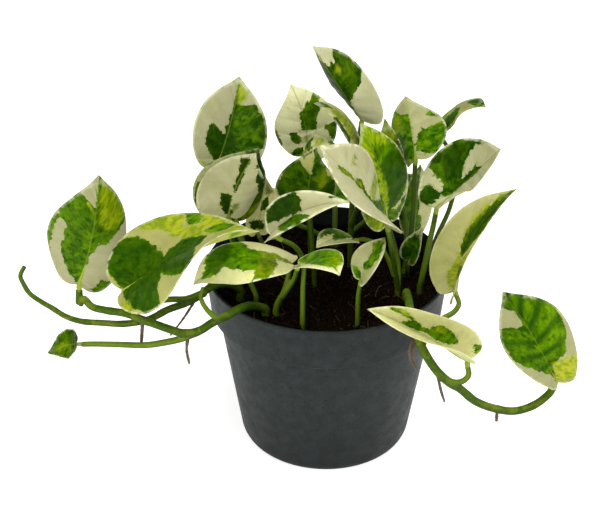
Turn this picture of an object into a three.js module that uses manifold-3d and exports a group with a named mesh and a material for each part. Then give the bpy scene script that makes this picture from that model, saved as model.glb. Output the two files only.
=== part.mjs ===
// Potted pothos with cream and green leaves, in a round nursery pot.
// Millimetres, +Z up, origin at the middle of the pot's underside, the front of the plant towards -Y.
import * as THREE from 'three';
import { mergeVertices } from 'three/addons/utils/BufferGeometryUtils.js';
import Module from 'manifold-3d';

const wasm = await Module();
wasm.setup();

// Pot
const POT_HEIGHT = 96;
const RIM_RADIUS = 60;
const COLLAR_HEIGHT = 22;
const COLLAR_BOTTOM_RADIUS = 58;
const BODY_TOP_RADIUS = 54.5;
const BODY_BOTTOM_RADIUS = 44;
const BOTTOM_ROUND = 3;
const BOTTOM_BEVEL = 0.9;
const COLLAR_DROP = 1;
const LIP_BEVEL = 0.4;
const WALL = 1.2;
const FLOOR_THICKNESS = 1.6;
const DRAIN_COUNT = 6;
const DRAIN_RADIUS = 4;
const DRAIN_CIRCLE = 28;
const DRAIN_SIDES = 16;
const POT_SEGMENTS = 40;
const STEP_HEIGHT = POT_HEIGHT - COLLAR_HEIGHT;

// Soil
const SOIL_LEVEL = 86;
const SOIL_RINGS = [45, 34, 23, 12, 0];
const BROAD_LUMPS = { height: 0.7, x: 0.31, y: 0.27 };
const SMALL_LUMPS = { height: 0.42, x: 0.63, y: 0.55 };
const SOIL_FOOT_DEPTH = 12;
const FOOT_HOLE_SIDES = 12;
const CLEARANCE = 0.3;

// Leaf blades: half outline from base to tip as [share of length, share of width]
const HALF_OUTLINE = [
  [0, 0], [-0.05, 0.12], [-0.03, 0.27], [0.12, 0.44], [0.34, 0.5],
  [0.58, 0.43], [0.78, 0.26], [0.92, 0.09], [1, 0],
];
const BLADE_THICKNESS = 0.8;
const BLADE_ROWS = 9;
const SMALL_BLADE_ROWS = 6;
const SMALL_BLADE_LENGTH = 36;
const BLADE_COLUMNS = 2;
const VEIN_SWEEP = 1.8;
const BEND_STEPS = 12;
const NORMAL_STEP = 0.02;
const NECK_LENGTH = 3;
const NECK_RADIUS = 1.1;
const NECK_END_RADIUS = 0.7;
const NECK_SINK = 0.6;
const NECK_SIDES = 6;

// Stems
const STEM_STEP = 9;
const STEM_SIDES = 8;
const THIN_STEM_RADIUS = 1.8;
const THIN_STEM_SIDES = 6;

const COLOURS = {
  pot: { color: 0x3c4b50, roughness: 0.55 },
  soil: { color: 0x2a1d15, roughness: 0.95 },
  stem: { color: 0x6f8f2e, roughness: 0.45 },
  creamLeaf: { color: 0xd9dbb0, roughness: 0.35 },
  greenLeaf: { color: 0x4f8a1c, roughness: 0.35 },
};

// Each leaf: where its base and tip are, which way its upper face looks, its width, how far its
// midrib arches and sways, and for the left and right half the fold at the midrib and the curl
// towards the margin, in degrees.
const LEAVES = {
  leaf_left_tip: {
    base: [-115, -42, 109], tip: [-101, -43, 167], face: [0.2, -0.97, 0], width: 43,
    fold: [-14, -14], curl: [-13, -48], arch: 0, sway: 2, twist: -40, from: [-115, -45, 100], green: true,
  },
  leaf_left_broad: {
    base: [-90, -66, 121], tip: [-29, -67, 153], face: [-0.44, 0.29, 0.85], width: 60,
    fold: [14, 20], curl: [27, -66], arch: 3.5, sway: -4, twist: 48, from: [-89, -58, 113], green: true,
  },
  leaf_left_young: {
    base: [-117, -52, 82], tip: [-129, -61, 83], face: [0.47, -0.59, 0.66], width: 15,
    fold: [-7, -2], curl: [-44, 11], arch: 7, sway: 0, twist: -38, from: [-108, -53, 83], green: true,
  },
  leaf_rear_left_tall: {
    base: [-54, 8, 145], tip: [-44, 40, 179], face: [0.4, -0.65, 0.65], width: 39,
    fold: [20, 15], curl: [-5, 0], arch: 2, sway: 1, twist: 5, from: [-51, 7, 131],
  },
  leaf_left_cream: {
    base: [-46, -22, 135], tip: [-32, -34, 174], face: [-0.3, -0.9, -0.2], width: 33,
    fold: [5, 0], curl: [20, -90], arch: 2, sway: -2, twist: 40, from: [-46, -14, 121],
  },
  leaf_left_shaded: {
    base: [-44, -2, 121], tip: [-32, -7, 163], face: [0.35, -0.9, -0.3], width: 42,
    fold: [-15, -10], curl: [-25, -35], arch: 0, sway: -5, twist: -5, from: [-40, -5, 108], green: true,
  },
  leaf_left_pale: {
    base: [-35, 14, 106], tip: [-31, 23, 133], face: [0.6, -0.8, 0.2], width: 19,
    fold: [15, 20], curl: [-10, -5], arch: 2, sway: -1, twist: 0, from: [-32, 12, 99],
  },
  leaf_rear_centre_cream: {
    base: [-10, 18, 149], tip: [-18, 10, 188], face: [0.35, -0.9, -0.2], width: 31,
    fold: [5, 5], curl: [-50, -10], arch: 1, sway: 2, twist: -10, from: [-10, 18, 135],
  },
  leaf_rear_centre_small: {
    base: [-11, -2, 159], tip: [5, 0, 161], face: [0, -0.5, 0.85], width: 15,
    fold: [-20, -20], curl: [0, 0], arch: 5, sway: 0, twist: 0, from: [-12, -1, 150],
  },
  leaf_rear_centre_folded: {
    base: [14, 3, 162], tip: [-7, 2, 182], face: [0.65, -0.15, 0.75], width: 19,
    fold: [0, 0], curl: [-15, -40], arch: 4, sway: 2, twist: -10, from: [15, 4, 150],
  },
  leaf_centre_green: {
    base: [-9, -8, 135], tip: [-5, -24, 172], face: [-0.35, -0.85, -0.35], width: 31,
    fold: [10, 15], curl: [10, -100], arch: 4, sway: 0, twist: 20, from: [-8, -7, 124], green: true,
  },
  leaf_front_arched: {
    base: [-23, -36, 132], tip: [10, -44, 155], face: [-0.6, -0.15, 0.8], width: 24,
    fold: [60, 45], curl: [35, -70], arch: 7, sway: 1, twist: -35, from: [-15, -32, 125],
  },
  leaf_front_left_flat: {
    base: [-17, -33, 116], tip: [-62, -40, 108], face: [-0.16, -0.01, 0.99], width: 40,
    fold: [6, 10], curl: [-27, -29], arch: 6, sway: 4, twist: 34, from: [-18, -33, 108], green: true,
  },
  leaf_front_small: {
    base: [-13, -39, 119], tip: [6, -57, 125], face: [-0.15, 0.2, 0.96], width: 22,
    fold: [15, 10], curl: [-10, -10], arch: 3, sway: -3, twist: 0, from: [-15, -36, 110], green: true,
  },
  leaf_front_right_small: {
    base: [16, -38, 111], tip: [27, -26, 127], face: [-0.5, -0.45, 0.75], width: 17,
    fold: [20, 20], curl: [5, 0], arch: 4, sway: 2, twist: -15, from: [15, -38, 102],
  },
  leaf_front_sliver: {
    base: [12, -14, 118], tip: [-5, -30, 123], face: [0.2, 0.1, 0.97], width: 17,
    fold: [15, 15], curl: [0, -10], arch: 2, sway: 1, twist: 0, from: [18, -13, 118], green: true,
  },
  leaf_centre_cream: {
    base: [28, -22, 131], tip: [-4, -28, 175], face: [0.8, -0.19, 0.56], width: 43,
    fold: [20, 12], curl: [-20, 6], arch: 1, sway: 1, twist: 60, from: [30, -23, 121],
  },
  leaf_centre_striped: {
    base: [29, 1, 121], tip: [15, 3, 172], face: [0.65, -0.75, 0.17], width: 38,
    fold: [15, -10], curl: [-10, 5], arch: 2, sway: 2, twist: 5, from: [32, 0, 111], green: true,
  },
  leaf_top: {
    base: [16, 20, 165], tip: [-8, 35, 197], face: [-0.42, -0.9, 0.1], width: 35,
    fold: [-37, -4], curl: [-31, 21], arch: 9, sway: 5, twist: -10, from: [15, 21, 154],
  },
  leaf_rear_right: {
    base: [42, 10, 150], tip: [38, 43, 168], face: [-0.45, -0.4, 0.8], width: 34,
    fold: [-5, -20], curl: [-65, 5], arch: 2, sway: 1, twist: -45, from: [42, 9, 138], green: true,
  },
  leaf_rear_right_twisted: {
    base: [54, 36, 153], tip: [76, 26, 170], face: [-0.5, 0.25, 0.8], width: 22,
    fold: [15, 5], curl: [-50, -55], arch: 5, sway: -5, twist: 15, from: [60, 31, 144],
  },
  leaf_right_green: {
    base: [52, -8, 133], tip: [79, -13, 167], face: [-0.79, -0.15, 0.6], width: 41,
    fold: [33, 3], curl: [27, 32], arch: -6, sway: -9, twist: -18, from: [51, -7, 123], green: true,
  },
  leaf_right_long: {
    base: [61, -30, 100], tip: [85, -33, 157], face: [-0.88, -0.32, 0.36], width: 31,
    fold: [35, 35], curl: [60, -15], arch: 6, sway: -2, twist: 0, from: [62.5, -36, 97.5],
  },
  leaf_right_shaded: {
    base: [44, 20, 102], tip: [46, 30, 137], face: [0.7, -0.7, 0.15], width: 24,
    fold: [5, 5], curl: [-25, -5], arch: 0, sway: 0, twist: 20, from: [43, 18, 94], green: true,
  },
  leaf_front_right_low: {
    base: [65, -62, 83], tip: [18, -72, 117], face: [0.58, -0.52, 0.63], width: 38,
    fold: [47, 51], curl: [16, 61], arch: -4.5, sway: 4, twist: 27, from: [66, -64, 76],
  },
  leaf_right_tip: {
    base: [110, -48, 61], tip: [85, -20, 94], face: [0.3, -0.55, 0.78], width: 45,
    fold: [25, 35], curl: [-25, -60], arch: 1, sway: 1, twist: 45, from: [107, -51, 57], green: true,
  },
  leaf_rear_sliver: {
    base: [33, 18, 134], tip: [27, 19, 167], face: [0.2, -0.9, 0.3], width: 13,
    fold: [10, 10], curl: [0, 0], arch: 0, sway: 0, twist: 0, from: [36, 17, 124], green: true,
  },
  leaf_right_inner_small: {
    base: [41, -3, 101], tip: [46, -6, 121], face: [-0.5, -0.8, 0.3], width: 14,
    fold: [40, 40], curl: [0, 0], arch: 0, sway: 0, twist: 0, from: [40, -1, 94], green: true,
  },
  leaf_rear_low_left: {
    base: [-30, 38, 104], tip: [-54, 64, 98], face: [-0.3, 0.4, 0.85], width: 32,
    fold: [15, 15], curl: [-20, -20], arch: 4, sway: 2, twist: 10, from: [-23, 35, 101], green: true,
  },
  leaf_rear_low_centre: {
    base: [4, 42, 108], tip: [10, 82, 100], face: [0.1, 0.3, 0.95], width: 33,
    fold: [15, 10], curl: [-15, -25], arch: 5, sway: -2, twist: -10, from: [4, 36, 103], green: true,
  },
  leaf_rear_low_right: {
    base: [30, 38, 112], tip: [56, 68, 110], face: [0.2, 0.5, 0.85], width: 30,
    fold: [15, 15], curl: [-20, -10], arch: 4, sway: 1, twist: 0, from: [24, 34, 106],
  },
};

// Each stem: its node name, the tubes fused in it. A tube has its path, its radius at start and end,
// and the leaf that it holds, if any; foot says that it starts below the soil.
const STEMS = {
  vine_left: [
    {
      path: [[-29, -32, 90], [-32, -34, 92.5], [-35, -38, 95.5], [-38, -43, 98.4], [-42, -48, 99.4],
        [-46, -52, 99], [-52, -56, 98], [-58, -60, 96], [-65, -62, 96], [-71, -62, 98], [-77, -60, 99],
        [-83, -58, 100], [-92, -54, 101], [-102, -50, 100], [-109, -47, 100], [-113, -45, 103]],
      radius: [2.2, 1.7], foot: true, holds: 'leaf_left_tip',
    },
    {
      path: [[-58, -60, 96], [-66, -62, 93], [-74, -61, 90], [-83, -59, 87], [-96, -56, 85]],
      radius: [1.7, 1.3], holds: 'leaf_left_young',
    },
    {
      path: [[-46, -52, 99], [-50, -58, 102], [-55, -57, 107], [-57, -55, 111], [-56, -53, 115]],
      radius: [1.5, 1],
    },
    { path: [[-63, -61, 93], [-64, -61, 86], [-63, -62, 79]], radius: [0.8, 0.5] },
    { path: [[-84, -57, 99], [-85, -55, 92], [-86, -55, 83]], radius: [0.9, 0.7] },
  ],
  vine_left_long: [
    {
      path: [[-42, -18, 92], [-48, -22, 98], [-55, -27, 99], [-60, -33, 98], [-66, -40, 98],
        [-74, -46, 98], [-82, -51, 96], [-93, -52, 94], [-105, -50, 93], [-115, -46, 91], [-123, -42, 91],
        [-130, -38, 93], [-136, -34, 94], [-142, -30, 96], [-145, -27, 99], [-147, -24, 102],
        [-145, -22, 106]],
      radius: [2.2, 1.1], foot: true,
    },
    {
      path: [[-58, -31, 98], [-66, -41, 101], [-71, -46, 104], [-81, -52, 107]],
      radius: [1.6, 1.3], holds: 'leaf_left_broad',
    },
    { path: [[-62, -36, 97], [-67, -42, 91], [-73, -48, 85]], radius: [0.7, 0.4] },
  ],
  vine_right: [
    {
      path: [[39, -16, 90], [39, -23, 93], [39, -34, 97], [39, -45, 99], [40, -54, 98.5],
        [42, -61, 94.5], [46, -66, 88], [51, -68, 81], [57, -68, 74.5], [62, -66, 70], [70, -65, 62],
        [80, -62, 55.5], [90, -59, 52], [100, -55, 53]],
      radius: [2.2, 1.9], foot: true, holds: 'leaf_right_tip',
    },
    {
      path: [[53, -68, 78.5], [58, -68, 75], [63, -66, 74]],
      radius: [1.6, 1.3], holds: 'leaf_front_right_low',
    },
    {
      path: [[40, -54, 98.5], [48, -54, 98], [55, -49, 98], [60, -43, 97.5]],
      radius: [1.5, 1.2], holds: 'leaf_right_long',
    },
    { path: [[51, -68, 81], [53, -70, 72], [55, -71, 66]], radius: [0.8, 0.5] },
    { path: [[81, -62, 55], [81, -63, 49]], radius: [0.9, 0.7] },
    { path: [[41, -60, 95.5], [38, -65, 91], [39, -65, 85], [41.5, -65, 80]], radius: [0.7, 0.5] },
    { path: [[41, -60, 95.5], [40, -65, 90], [41, -64.5, 82]], radius: [0.6, 0.4] },
  ],
  stem_front_left: [
    {
      path: [[-24, -31, 89], [-23, -31, 93], [-20, -32, 100]],
      radius: [1.8, 1.3], foot: true, holds: 'leaf_front_left_flat',
    },
    { path: [[-21, -32, 97], [-18, -34, 103]], radius: [1.3, 1.1], holds: 'leaf_front_small' },
  ],
  stem_front_arched: [
    {
      path: [[-11, -41, 89], [-11, -36, 103], [-11, -30, 116]],
      radius: [1.4, 1.1], foot: true, holds: 'leaf_front_arched',
    },
  ],
  stem_front_right_small: [
    { path: [[15, -38, 89]], radius: [1.4, 1.1], foot: true, holds: 'leaf_front_right_small' },
  ],
  stem_centre_right: [
    {
      path: [[35, -11, 89], [33, -16, 103]],
      radius: [1.6, 1.2], foot: true, holds: 'leaf_centre_cream',
    },
    { path: [[35, -10, 90], [35, -4, 101]], radius: [1.4, 1.2], holds: 'leaf_centre_striped' },
    {
      path: [[33, -15, 99], [29, -14, 109], [25, -13, 115]],
      radius: [1.2, 1.1], holds: 'leaf_front_sliver',
    },
  ],
  stem_right: [
    {
      path: [[46, -9, 89], [47, -10, 97], [49, -9, 112]],
      radius: [1.7, 1.3], foot: true, holds: 'leaf_right_green',
    },
  ],
  stem_rear_right_twisted: [
    {
      path: [[48, 0, 90], [54, 4, 110], [60, 11, 122], [63, 20, 134]],
      radius: [1.3, 1.1], foot: true, holds: 'leaf_rear_right_twisted',
    },
  ],
  stem_rear_right: [
    {
      path: [[39, 6, 89], [41, 6, 104], [42, 7, 121]],
      radius: [1.5, 1.2], foot: true, holds: 'leaf_rear_right',
    },
    { path: [[39, 6, 89], [42, 13, 91]], radius: [1.4, 1.2], holds: 'leaf_right_shaded' },
    { path: [[40, 6, 100], [39, 14, 113]], radius: [1.3, 1.1], holds: 'leaf_rear_sliver' },
    { path: [[39, 6, 88], [40, 2, 90]], radius: [1.3, 1.1], holds: 'leaf_right_inner_small' },
  ],
  stem_top: [
    {
      path: [[12, 14, 90], [12, 16, 109], [13, 21, 134]],
      radius: [1.7, 1.3], foot: true, holds: 'leaf_top',
    },
    {
      path: [[12, 16, 109], [15, 10, 124], [16, 5, 139]],
      radius: [1.4, 1.1], holds: 'leaf_rear_centre_folded',
    },
  ],
  stem_centre: [
    {
      path: [[-6, -4, 90], [-7, -6, 110]],
      radius: [1.4, 1.2], foot: true, holds: 'leaf_centre_green',
    },
  ],
  stem_rear_centre: [
    {
      path: [[-8, 12, 90], [-9, 17, 118]],
      radius: [1.5, 1.2], foot: true, holds: 'leaf_rear_centre_cream',
    },
    {
      path: [[-8, 13, 98], [-9, 5, 118], [-12, 0, 138]],
      radius: [1.4, 1.1], holds: 'leaf_rear_centre_small',
    },
  ],
  stem_rear_left: [
    {
      path: [[-34, 2, 90], [-42, 4, 106], [-48, 6, 119]],
      radius: [1.6, 1.3], foot: true, holds: 'leaf_rear_left_tall',
    },
    { path: [[-34, 2, 92], [-37, -3, 100]], radius: [1.5, 1.3], holds: 'leaf_left_shaded' },
    { path: [[-34, 2, 89], [-31, 8, 93]], radius: [1.3, 1.1], holds: 'leaf_left_pale' },
  ],
  stem_left_cream: [
    {
      path: [[-34, -22, 91], [-38, -17, 98], [-43, -12, 108]],
      radius: [1.4, 1.2], foot: true, holds: 'leaf_left_cream',
    },
  ],
  stem_rear: [
    {
      path: [[4, 28, 89], [4, 30, 96]],
      radius: [1.9, 1.3], foot: true, holds: 'leaf_rear_low_centre',
    },
    { path: [[4, 28, 90], [-8, 30, 98]], radius: [1.5, 1.2], holds: 'leaf_rear_low_left' },
    { path: [[4, 28, 90], [14, 31, 98]], radius: [1.5, 1.2], holds: 'leaf_rear_low_right' },
  ],
};

const vector = (p) => new THREE.Vector3(...p);
const radians = THREE.MathUtils.degToRad;

// Solid from a closed geometry
function toSolid(geometry) {
  const bare = geometry.clone();
  bare.deleteAttribute('normal');
  bare.deleteAttribute('uv');
  const merged = mergeVertices(bare, 1e-4);
  return new wasm.Manifold(new wasm.Mesh({
    numProp: 3,
    vertProperties: new Float32Array(merged.attributes.position.array),
    triVerts: new Uint32Array(merged.index.array),
  }));
}

function toGeometry(solid) {
  const mesh = solid.getMesh();
  const geometry = new THREE.BufferGeometry();
  geometry.setAttribute('position', new THREE.BufferAttribute(new Float32Array(mesh.vertProperties), 3));
  geometry.setIndex(new THREE.BufferAttribute(new Uint32Array(mesh.triVerts), 1));
  geometry.computeVertexNormals();
  return geometry;
}

function fuse(solids) {
  return solids.reduce((whole, piece) => whole.add(piece));
}

// Point of a smooth open line through flat points, at share k of its length in points
function smoothLine(points, k) {
  const last = points.length - 1;
  const x = Math.min(Math.max(k * last, 0), last - 1e-9);
  const i = Math.floor(x);
  const f = x - i;
  const at = (j) => points[Math.min(Math.max(j, 0), last)];
  return [0, 1].map((axis) => {
    const [a, b, c, d] = [at(i - 1), at(i), at(i + 1), at(i + 2)].map((p) => p[axis]);
    const [linear, square, cube] = [c - a, 2 * a - 5 * b + 4 * c - d, 3 * b - a - 3 * c + d];
    return b + 0.5 * (linear * f + square * f ** 2 + cube * f ** 3);
  });
}

// Leaf blade: its middle surface bends away from the midrib on either side
function bladePoint(leaf, k, across) {
  const base = vector(leaf.base);
  const tip = vector(leaf.tip);
  const length = base.distanceTo(tip);
  const along = tip.clone().sub(base).normalize();
  const side = along.clone().cross(vector(leaf.face)).normalize();
  const face = side.clone().cross(along);

  const [edgeAlong, edgeAcross] = smoothLine(HALF_OUTLINE, k);
  const reach = Math.abs(across);
  const rib = k ** VEIN_SWEEP;
  const share = rib + (edgeAlong - rib) * reach;
  const distance = edgeAcross * reach * leaf.width;

  const held = Math.min(Math.max(share, 0), 1);
  const bow = 4 * held * (1 - held);
  const slope = 4 * (1 - 2 * held);
  const onRib = base.clone().addScaledVector(along, length * share)
    .addScaledVector(face, leaf.arch * bow).addScaledVector(side, leaf.sway * bow);
  const tangent = along.clone().multiplyScalar(length)
    .addScaledVector(face, leaf.arch * slope).addScaledVector(side, leaf.sway * slope).normalize();
  const localSide = tangent.clone().cross(face).normalize();
  const localFace = localSide.clone().cross(tangent);

  const turn = radians(leaf.twist) * (held - 0.5);
  const [cosine, sine] = [Math.cos(turn), Math.sin(turn)];
  const turnedSide = localSide.clone().multiplyScalar(cosine).addScaledVector(localFace, sine);
  const turnedFace = localFace.clone().multiplyScalar(cosine).addScaledVector(localSide, -sine);

  const half = across < 0 ? 0 : 1;
  const fold = radians(leaf.fold[half]);
  const curl = radians(leaf.curl[half]);
  let outward = 0;
  let upward = 0;
  for (let step = 0; step < BEND_STEPS; step += 1) {
    const passed = (step + 0.5) / BEND_STEPS * distance / (leaf.width / 2);
    const angle = fold + curl * passed;
    outward += Math.cos(angle) * distance / BEND_STEPS;
    upward += Math.sin(angle) * distance / BEND_STEPS;
  }
  return onRib.addScaledVector(turnedSide, outward * Math.sign(across)).addScaledVector(turnedFace, upward);
}

function bladeNormal(leaf, k, across) {
  const down = bladePoint(leaf, Math.max(k - NORMAL_STEP, 0), across);
  const up = bladePoint(leaf, Math.min(k + NORMAL_STEP, 1), across);
  const left = bladePoint(leaf, k, Math.max(across - NORMAL_STEP, -1));
  const right = bladePoint(leaf, k, Math.min(across + NORMAL_STEP, 1));
  return right.sub(left).cross(up.sub(down)).normalize();
}

// Closed sheet over the blade: base and tip are single points, with rows of columns between
function bladeGeometry(leaf) {
  const samples = [[NORMAL_STEP, 0, 0]];
  const small = vector(leaf.base).distanceTo(vector(leaf.tip)) < SMALL_BLADE_LENGTH;
  const rows = small ? SMALL_BLADE_ROWS : BLADE_ROWS;
  const columns = 2 * BLADE_COLUMNS;
  for (let row = 1; row < rows; row += 1) {
    for (let column = 0; column <= columns; column += 1) {
      samples.push([row / rows, row / rows, column / BLADE_COLUMNS - 1]);
    }
  }
  samples.push([1 - NORMAL_STEP, 1, 0]);
  const positions = [];
  for (const lift of [0.5, -0.5]) {
    for (const [normalAt, k, across] of samples) {
      const offset = bladeNormal(leaf, normalAt, across).multiplyScalar(lift * BLADE_THICKNESS);
      positions.push(...bladePoint(leaf, k, across).add(offset).toArray());
    }
  }
  const count = samples.length;
  const width = columns + 1;
  const at = (row, column) => 1 + (row - 1) * width + column;
  const top = [];
  for (let column = 0; column < columns; column += 1) {
    top.push([0, at(1, column + 1), at(1, column)]);
    top.push([count - 1, at(rows - 1, column), at(rows - 1, column + 1)]);
    for (let row = 1; row < rows - 1; row += 1) {
      const [a, b] = [at(row, column), at(row, column + 1)];
      const [c, d] = [at(row + 1, column), at(row + 1, column + 1)];
      if (column < BLADE_COLUMNS) top.push([a, b, c], [b, d, c]);
      else top.push([a, b, d], [a, d, c]);
    }
  }
  const margin = [0];
  for (let row = 1; row < rows; row += 1) margin.push(at(row, columns));
  margin.push(count - 1);
  for (let row = rows - 1; row > 0; row -= 1) margin.push(at(row, 0));
  const index = [];
  for (const [a, b, c] of top) {
    index.push(a, b, c);
    index.push(a + count, c + count, b + count);
  }
  margin.forEach((a, i) => {
    const b = margin[(i + 1) % margin.length];
    index.push(a, a + count, b, b, a + count, b + count);
  });
  const geometry = new THREE.BufferGeometry();
  geometry.setAttribute('position', new THREE.Float32BufferAttribute(positions, 3));
  geometry.setIndex(index);
  return geometry;
}

// Round tube along a smooth path, narrowing from one radius to another, closed at both ends
function tubeGeometry(path, [startRadius, endRadius], sides, step) {
  const curve = new THREE.CatmullRomCurve3(path.map(vector));
  const rings = Math.max(1, Math.ceil(curve.getLength() / step));
  const frames = curve.computeFrenetFrames(rings);
  const positions = [];
  for (let ring = 0; ring <= rings; ring += 1) {
    const share = ring / rings;
    const centre = curve.getPointAt(share);
    const radius = startRadius + (endRadius - startRadius) * share;
    for (let side = 0; side < sides; side += 1) {
      const angle = 2 * Math.PI * side / sides;
      const point = centre.clone()
        .addScaledVector(frames.normals[ring], radius * Math.cos(angle))
        .addScaledVector(frames.binormals[ring], radius * Math.sin(angle));
      positions.push(...point.toArray());
    }
  }
  const index = [];
  for (let ring = 0; ring < rings; ring += 1) {
    for (let side = 0; side < sides; side += 1) {
      const a = ring * sides + side;
      const b = ring * sides + (side + 1) % sides;
      index.push(a, b, a + sides, b, b + sides, a + sides);
    }
  }
  for (let side = 1; side < sides - 1; side += 1) {
    const last = rings * sides;
    index.push(0, side + 1, side);
    index.push(last, last + side, last + side + 1);
  }
  const geometry = new THREE.BufferGeometry();
  geometry.setAttribute('position', new THREE.Float32BufferAttribute(positions, 3));
  geometry.setIndex(index);
  return geometry;
}

// Leaf: a blade with the short neck where its stalk meets it
function leafSolid(leaf) {
  const base = vector(leaf.base);
  const inward = base.clone().sub(vector(leaf.from)).normalize();
  const start = base.clone().addScaledVector(inward, -NECK_LENGTH).toArray();
  const end = base.clone().addScaledVector(inward, NECK_SINK).toArray();
  const neck = tubeGeometry([start, end], [NECK_RADIUS, NECK_END_RADIUS], NECK_SIDES, NECK_LENGTH);
  return toSolid(bladeGeometry(leaf)).add(toSolid(neck));
}

// Path of a tube, led down into the soil at its foot and up to the neck of the leaf it holds
function fullPath(tube) {
  const path = [...tube.path];
  if (tube.foot) {
    const [x, y] = path[0];
    const depths = [SOIL_FOOT_DEPTH, SOIL_FOOT_DEPTH / 2, 0];
    path.unshift(...depths.map((depth) => [x, y, SOIL_LEVEL - depth]));
  }
  if (tube.holds) {
    const leaf = LEAVES[tube.holds];
    const base = vector(leaf.base);
    const inward = base.clone().sub(vector(leaf.from)).normalize();
    path.push(leaf.from, base.addScaledVector(inward, -NECK_LENGTH - CLEARANCE).toArray());
  }
  return path;
}

function stemSolid(tubes) {
  return fuse(tubes.map((tube) => {
    const sides = tube.radius[0] < THIN_STEM_RADIUS ? THIN_STEM_SIDES : STEM_SIDES;
    return toSolid(tubeGeometry(fullPath(tube), tube.radius, sides, STEM_STEP));
  }));
}

// Closed solid of revolution about the upright axis
function latheGeometry(profile) {
  const points = profile.map(([radius, height]) => new THREE.Vector2(radius, height));
  const geometry = new THREE.LatheGeometry(points, POT_SEGMENTS);
  geometry.rotateX(Math.PI / 2);
  return geometry;
}

function cylinder(radius, bottom, top, x, y, segments) {
  const geometry = new THREE.CylinderGeometry(radius, radius, top - bottom, segments);
  geometry.rotateX(Math.PI / 2);
  geometry.translate(x, y, (top + bottom) / 2);
  return toSolid(geometry);
}

// Outer radius of the tapering body below the collar
function bodyRadius(height) {
  const share = (height - BOTTOM_ROUND) / (STEP_HEIGHT - BOTTOM_ROUND);
  return BODY_BOTTOM_RADIUS + (BODY_TOP_RADIUS - BODY_BOTTOM_RADIUS) * share;
}

// Outer radius of the collar
function collarRadius(height) {
  const share = (height - STEP_HEIGHT) / COLLAR_HEIGHT;
  return COLLAR_BOTTOM_RADIUS + (RIM_RADIUS - COLLAR_BOTTOM_RADIUS) * share;
}

function drainHoles() {
  const holes = [];
  for (let i = 0; i < DRAIN_COUNT; i += 1) {
    const angle = 2 * Math.PI * i / DRAIN_COUNT;
    const [x, y] = [DRAIN_CIRCLE * Math.cos(angle), DRAIN_CIRCLE * Math.sin(angle)];
    holes.push(cylinder(DRAIN_RADIUS, -FLOOR_THICKNESS, 2 * FLOOR_THICKNESS, x, y, DRAIN_SIDES));
  }
  return fuse(holes);
}

function potSolid() {
  const shell = latheGeometry([
    [0, 0],
    [BODY_BOTTOM_RADIUS - BOTTOM_ROUND, 0],
    [BODY_BOTTOM_RADIUS - BOTTOM_BEVEL, BOTTOM_BEVEL],
    [BODY_BOTTOM_RADIUS, BOTTOM_ROUND],
    [BODY_TOP_RADIUS, STEP_HEIGHT - COLLAR_DROP],
    [COLLAR_BOTTOM_RADIUS, STEP_HEIGHT],
    [RIM_RADIUS, POT_HEIGHT - COLLAR_DROP],
    [RIM_RADIUS - LIP_BEVEL, POT_HEIGHT],
    [RIM_RADIUS - WALL, POT_HEIGHT],
    [COLLAR_BOTTOM_RADIUS - WALL, STEP_HEIGHT + WALL],
    [BODY_TOP_RADIUS - WALL, STEP_HEIGHT - COLLAR_DROP + WALL],
    [BODY_BOTTOM_RADIUS - WALL, BOTTOM_ROUND],
    [BODY_BOTTOM_RADIUS - BOTTOM_ROUND, FLOOR_THICKNESS],
    [0, FLOOR_THICKNESS],
  ]);
  return toSolid(shell).subtract(drainHoles());
}

// Height of the loose surface above the soil's level
function soilLumps(x, y) {
  const broad = BROAD_LUMPS.height * Math.sin(x * BROAD_LUMPS.x + 1) * Math.cos(y * BROAD_LUMPS.y);
  const small = SMALL_LUMPS.height * Math.sin(x * SMALL_LUMPS.x - y * SMALL_LUMPS.y);
  return broad + small;
}

// Holes that the buried feet of the stems stand in
function footHoles() {
  const bottom = SOIL_LEVEL - SOIL_FOOT_DEPTH - CLEARANCE;
  const spread = 1 / Math.cos(Math.PI / FOOT_HOLE_SIDES);
  const feet = Object.values(STEMS).flat().filter((tube) => tube.foot);
  return fuse(feet.map((tube) => {
    const [x, y] = tube.path[0];
    const radius = (tube.radius[0] + CLEARANCE) * spread;
    return cylinder(radius, bottom, POT_HEIGHT, x, y, FOOT_HOLE_SIDES);
  }));
}

function soilSolid() {
  const gap = WALL + CLEARANCE;
  const bottom = FLOOR_THICKNESS + CLEARANCE;
  const turn = BOTTOM_ROUND + 1;
  const filling = latheGeometry([
    [0, bottom],
    [BODY_BOTTOM_RADIUS - BOTTOM_ROUND - CLEARANCE, bottom],
    [bodyRadius(turn) - gap, turn],
    [bodyRadius(STEP_HEIGHT - 1) - gap, STEP_HEIGHT - 1 + WALL],
    [collarRadius(STEP_HEIGHT) - gap, STEP_HEIGHT + gap + CLEARANCE],
    [collarRadius(SOIL_LEVEL) - gap, SOIL_LEVEL],
    ...SOIL_RINGS.map((radius) => [radius, SOIL_LEVEL]),
  ]);
  const position = filling.attributes.position;
  for (let i = 0; i < position.count; i += 1) {
    const onTop = position.getZ(i) > SOIL_LEVEL - CLEARANCE;
    if (onTop) position.setZ(i, SOIL_LEVEL + soilLumps(position.getX(i), position.getY(i)));
  }
  return toSolid(filling).subtract(footHoles());
}

function mesh(name, solid, colour) {
  const material = new THREE.MeshStandardMaterial({ ...COLOURS[colour], metalness: 0 });
  const object = new THREE.Mesh(toGeometry(solid), material);
  object.name = name;
  return object;
}

const plant = new THREE.Group();
plant.add(mesh('pot', potSolid(), 'pot'));
plant.add(mesh('soil', soilSolid(), 'soil'));
for (const [name, tubes] of Object.entries(STEMS)) plant.add(mesh(name, stemSolid(tubes), 'stem'));
for (const [name, leaf] of Object.entries(LEAVES)) {
  plant.add(mesh(name, leafSolid(leaf), leaf.green ? 'greenLeaf' : 'creamLeaf'));
}

export default plant;
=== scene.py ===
"""Potted pothos: fine leaves, stems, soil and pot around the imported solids, with camera and light."""
import math
import random

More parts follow.
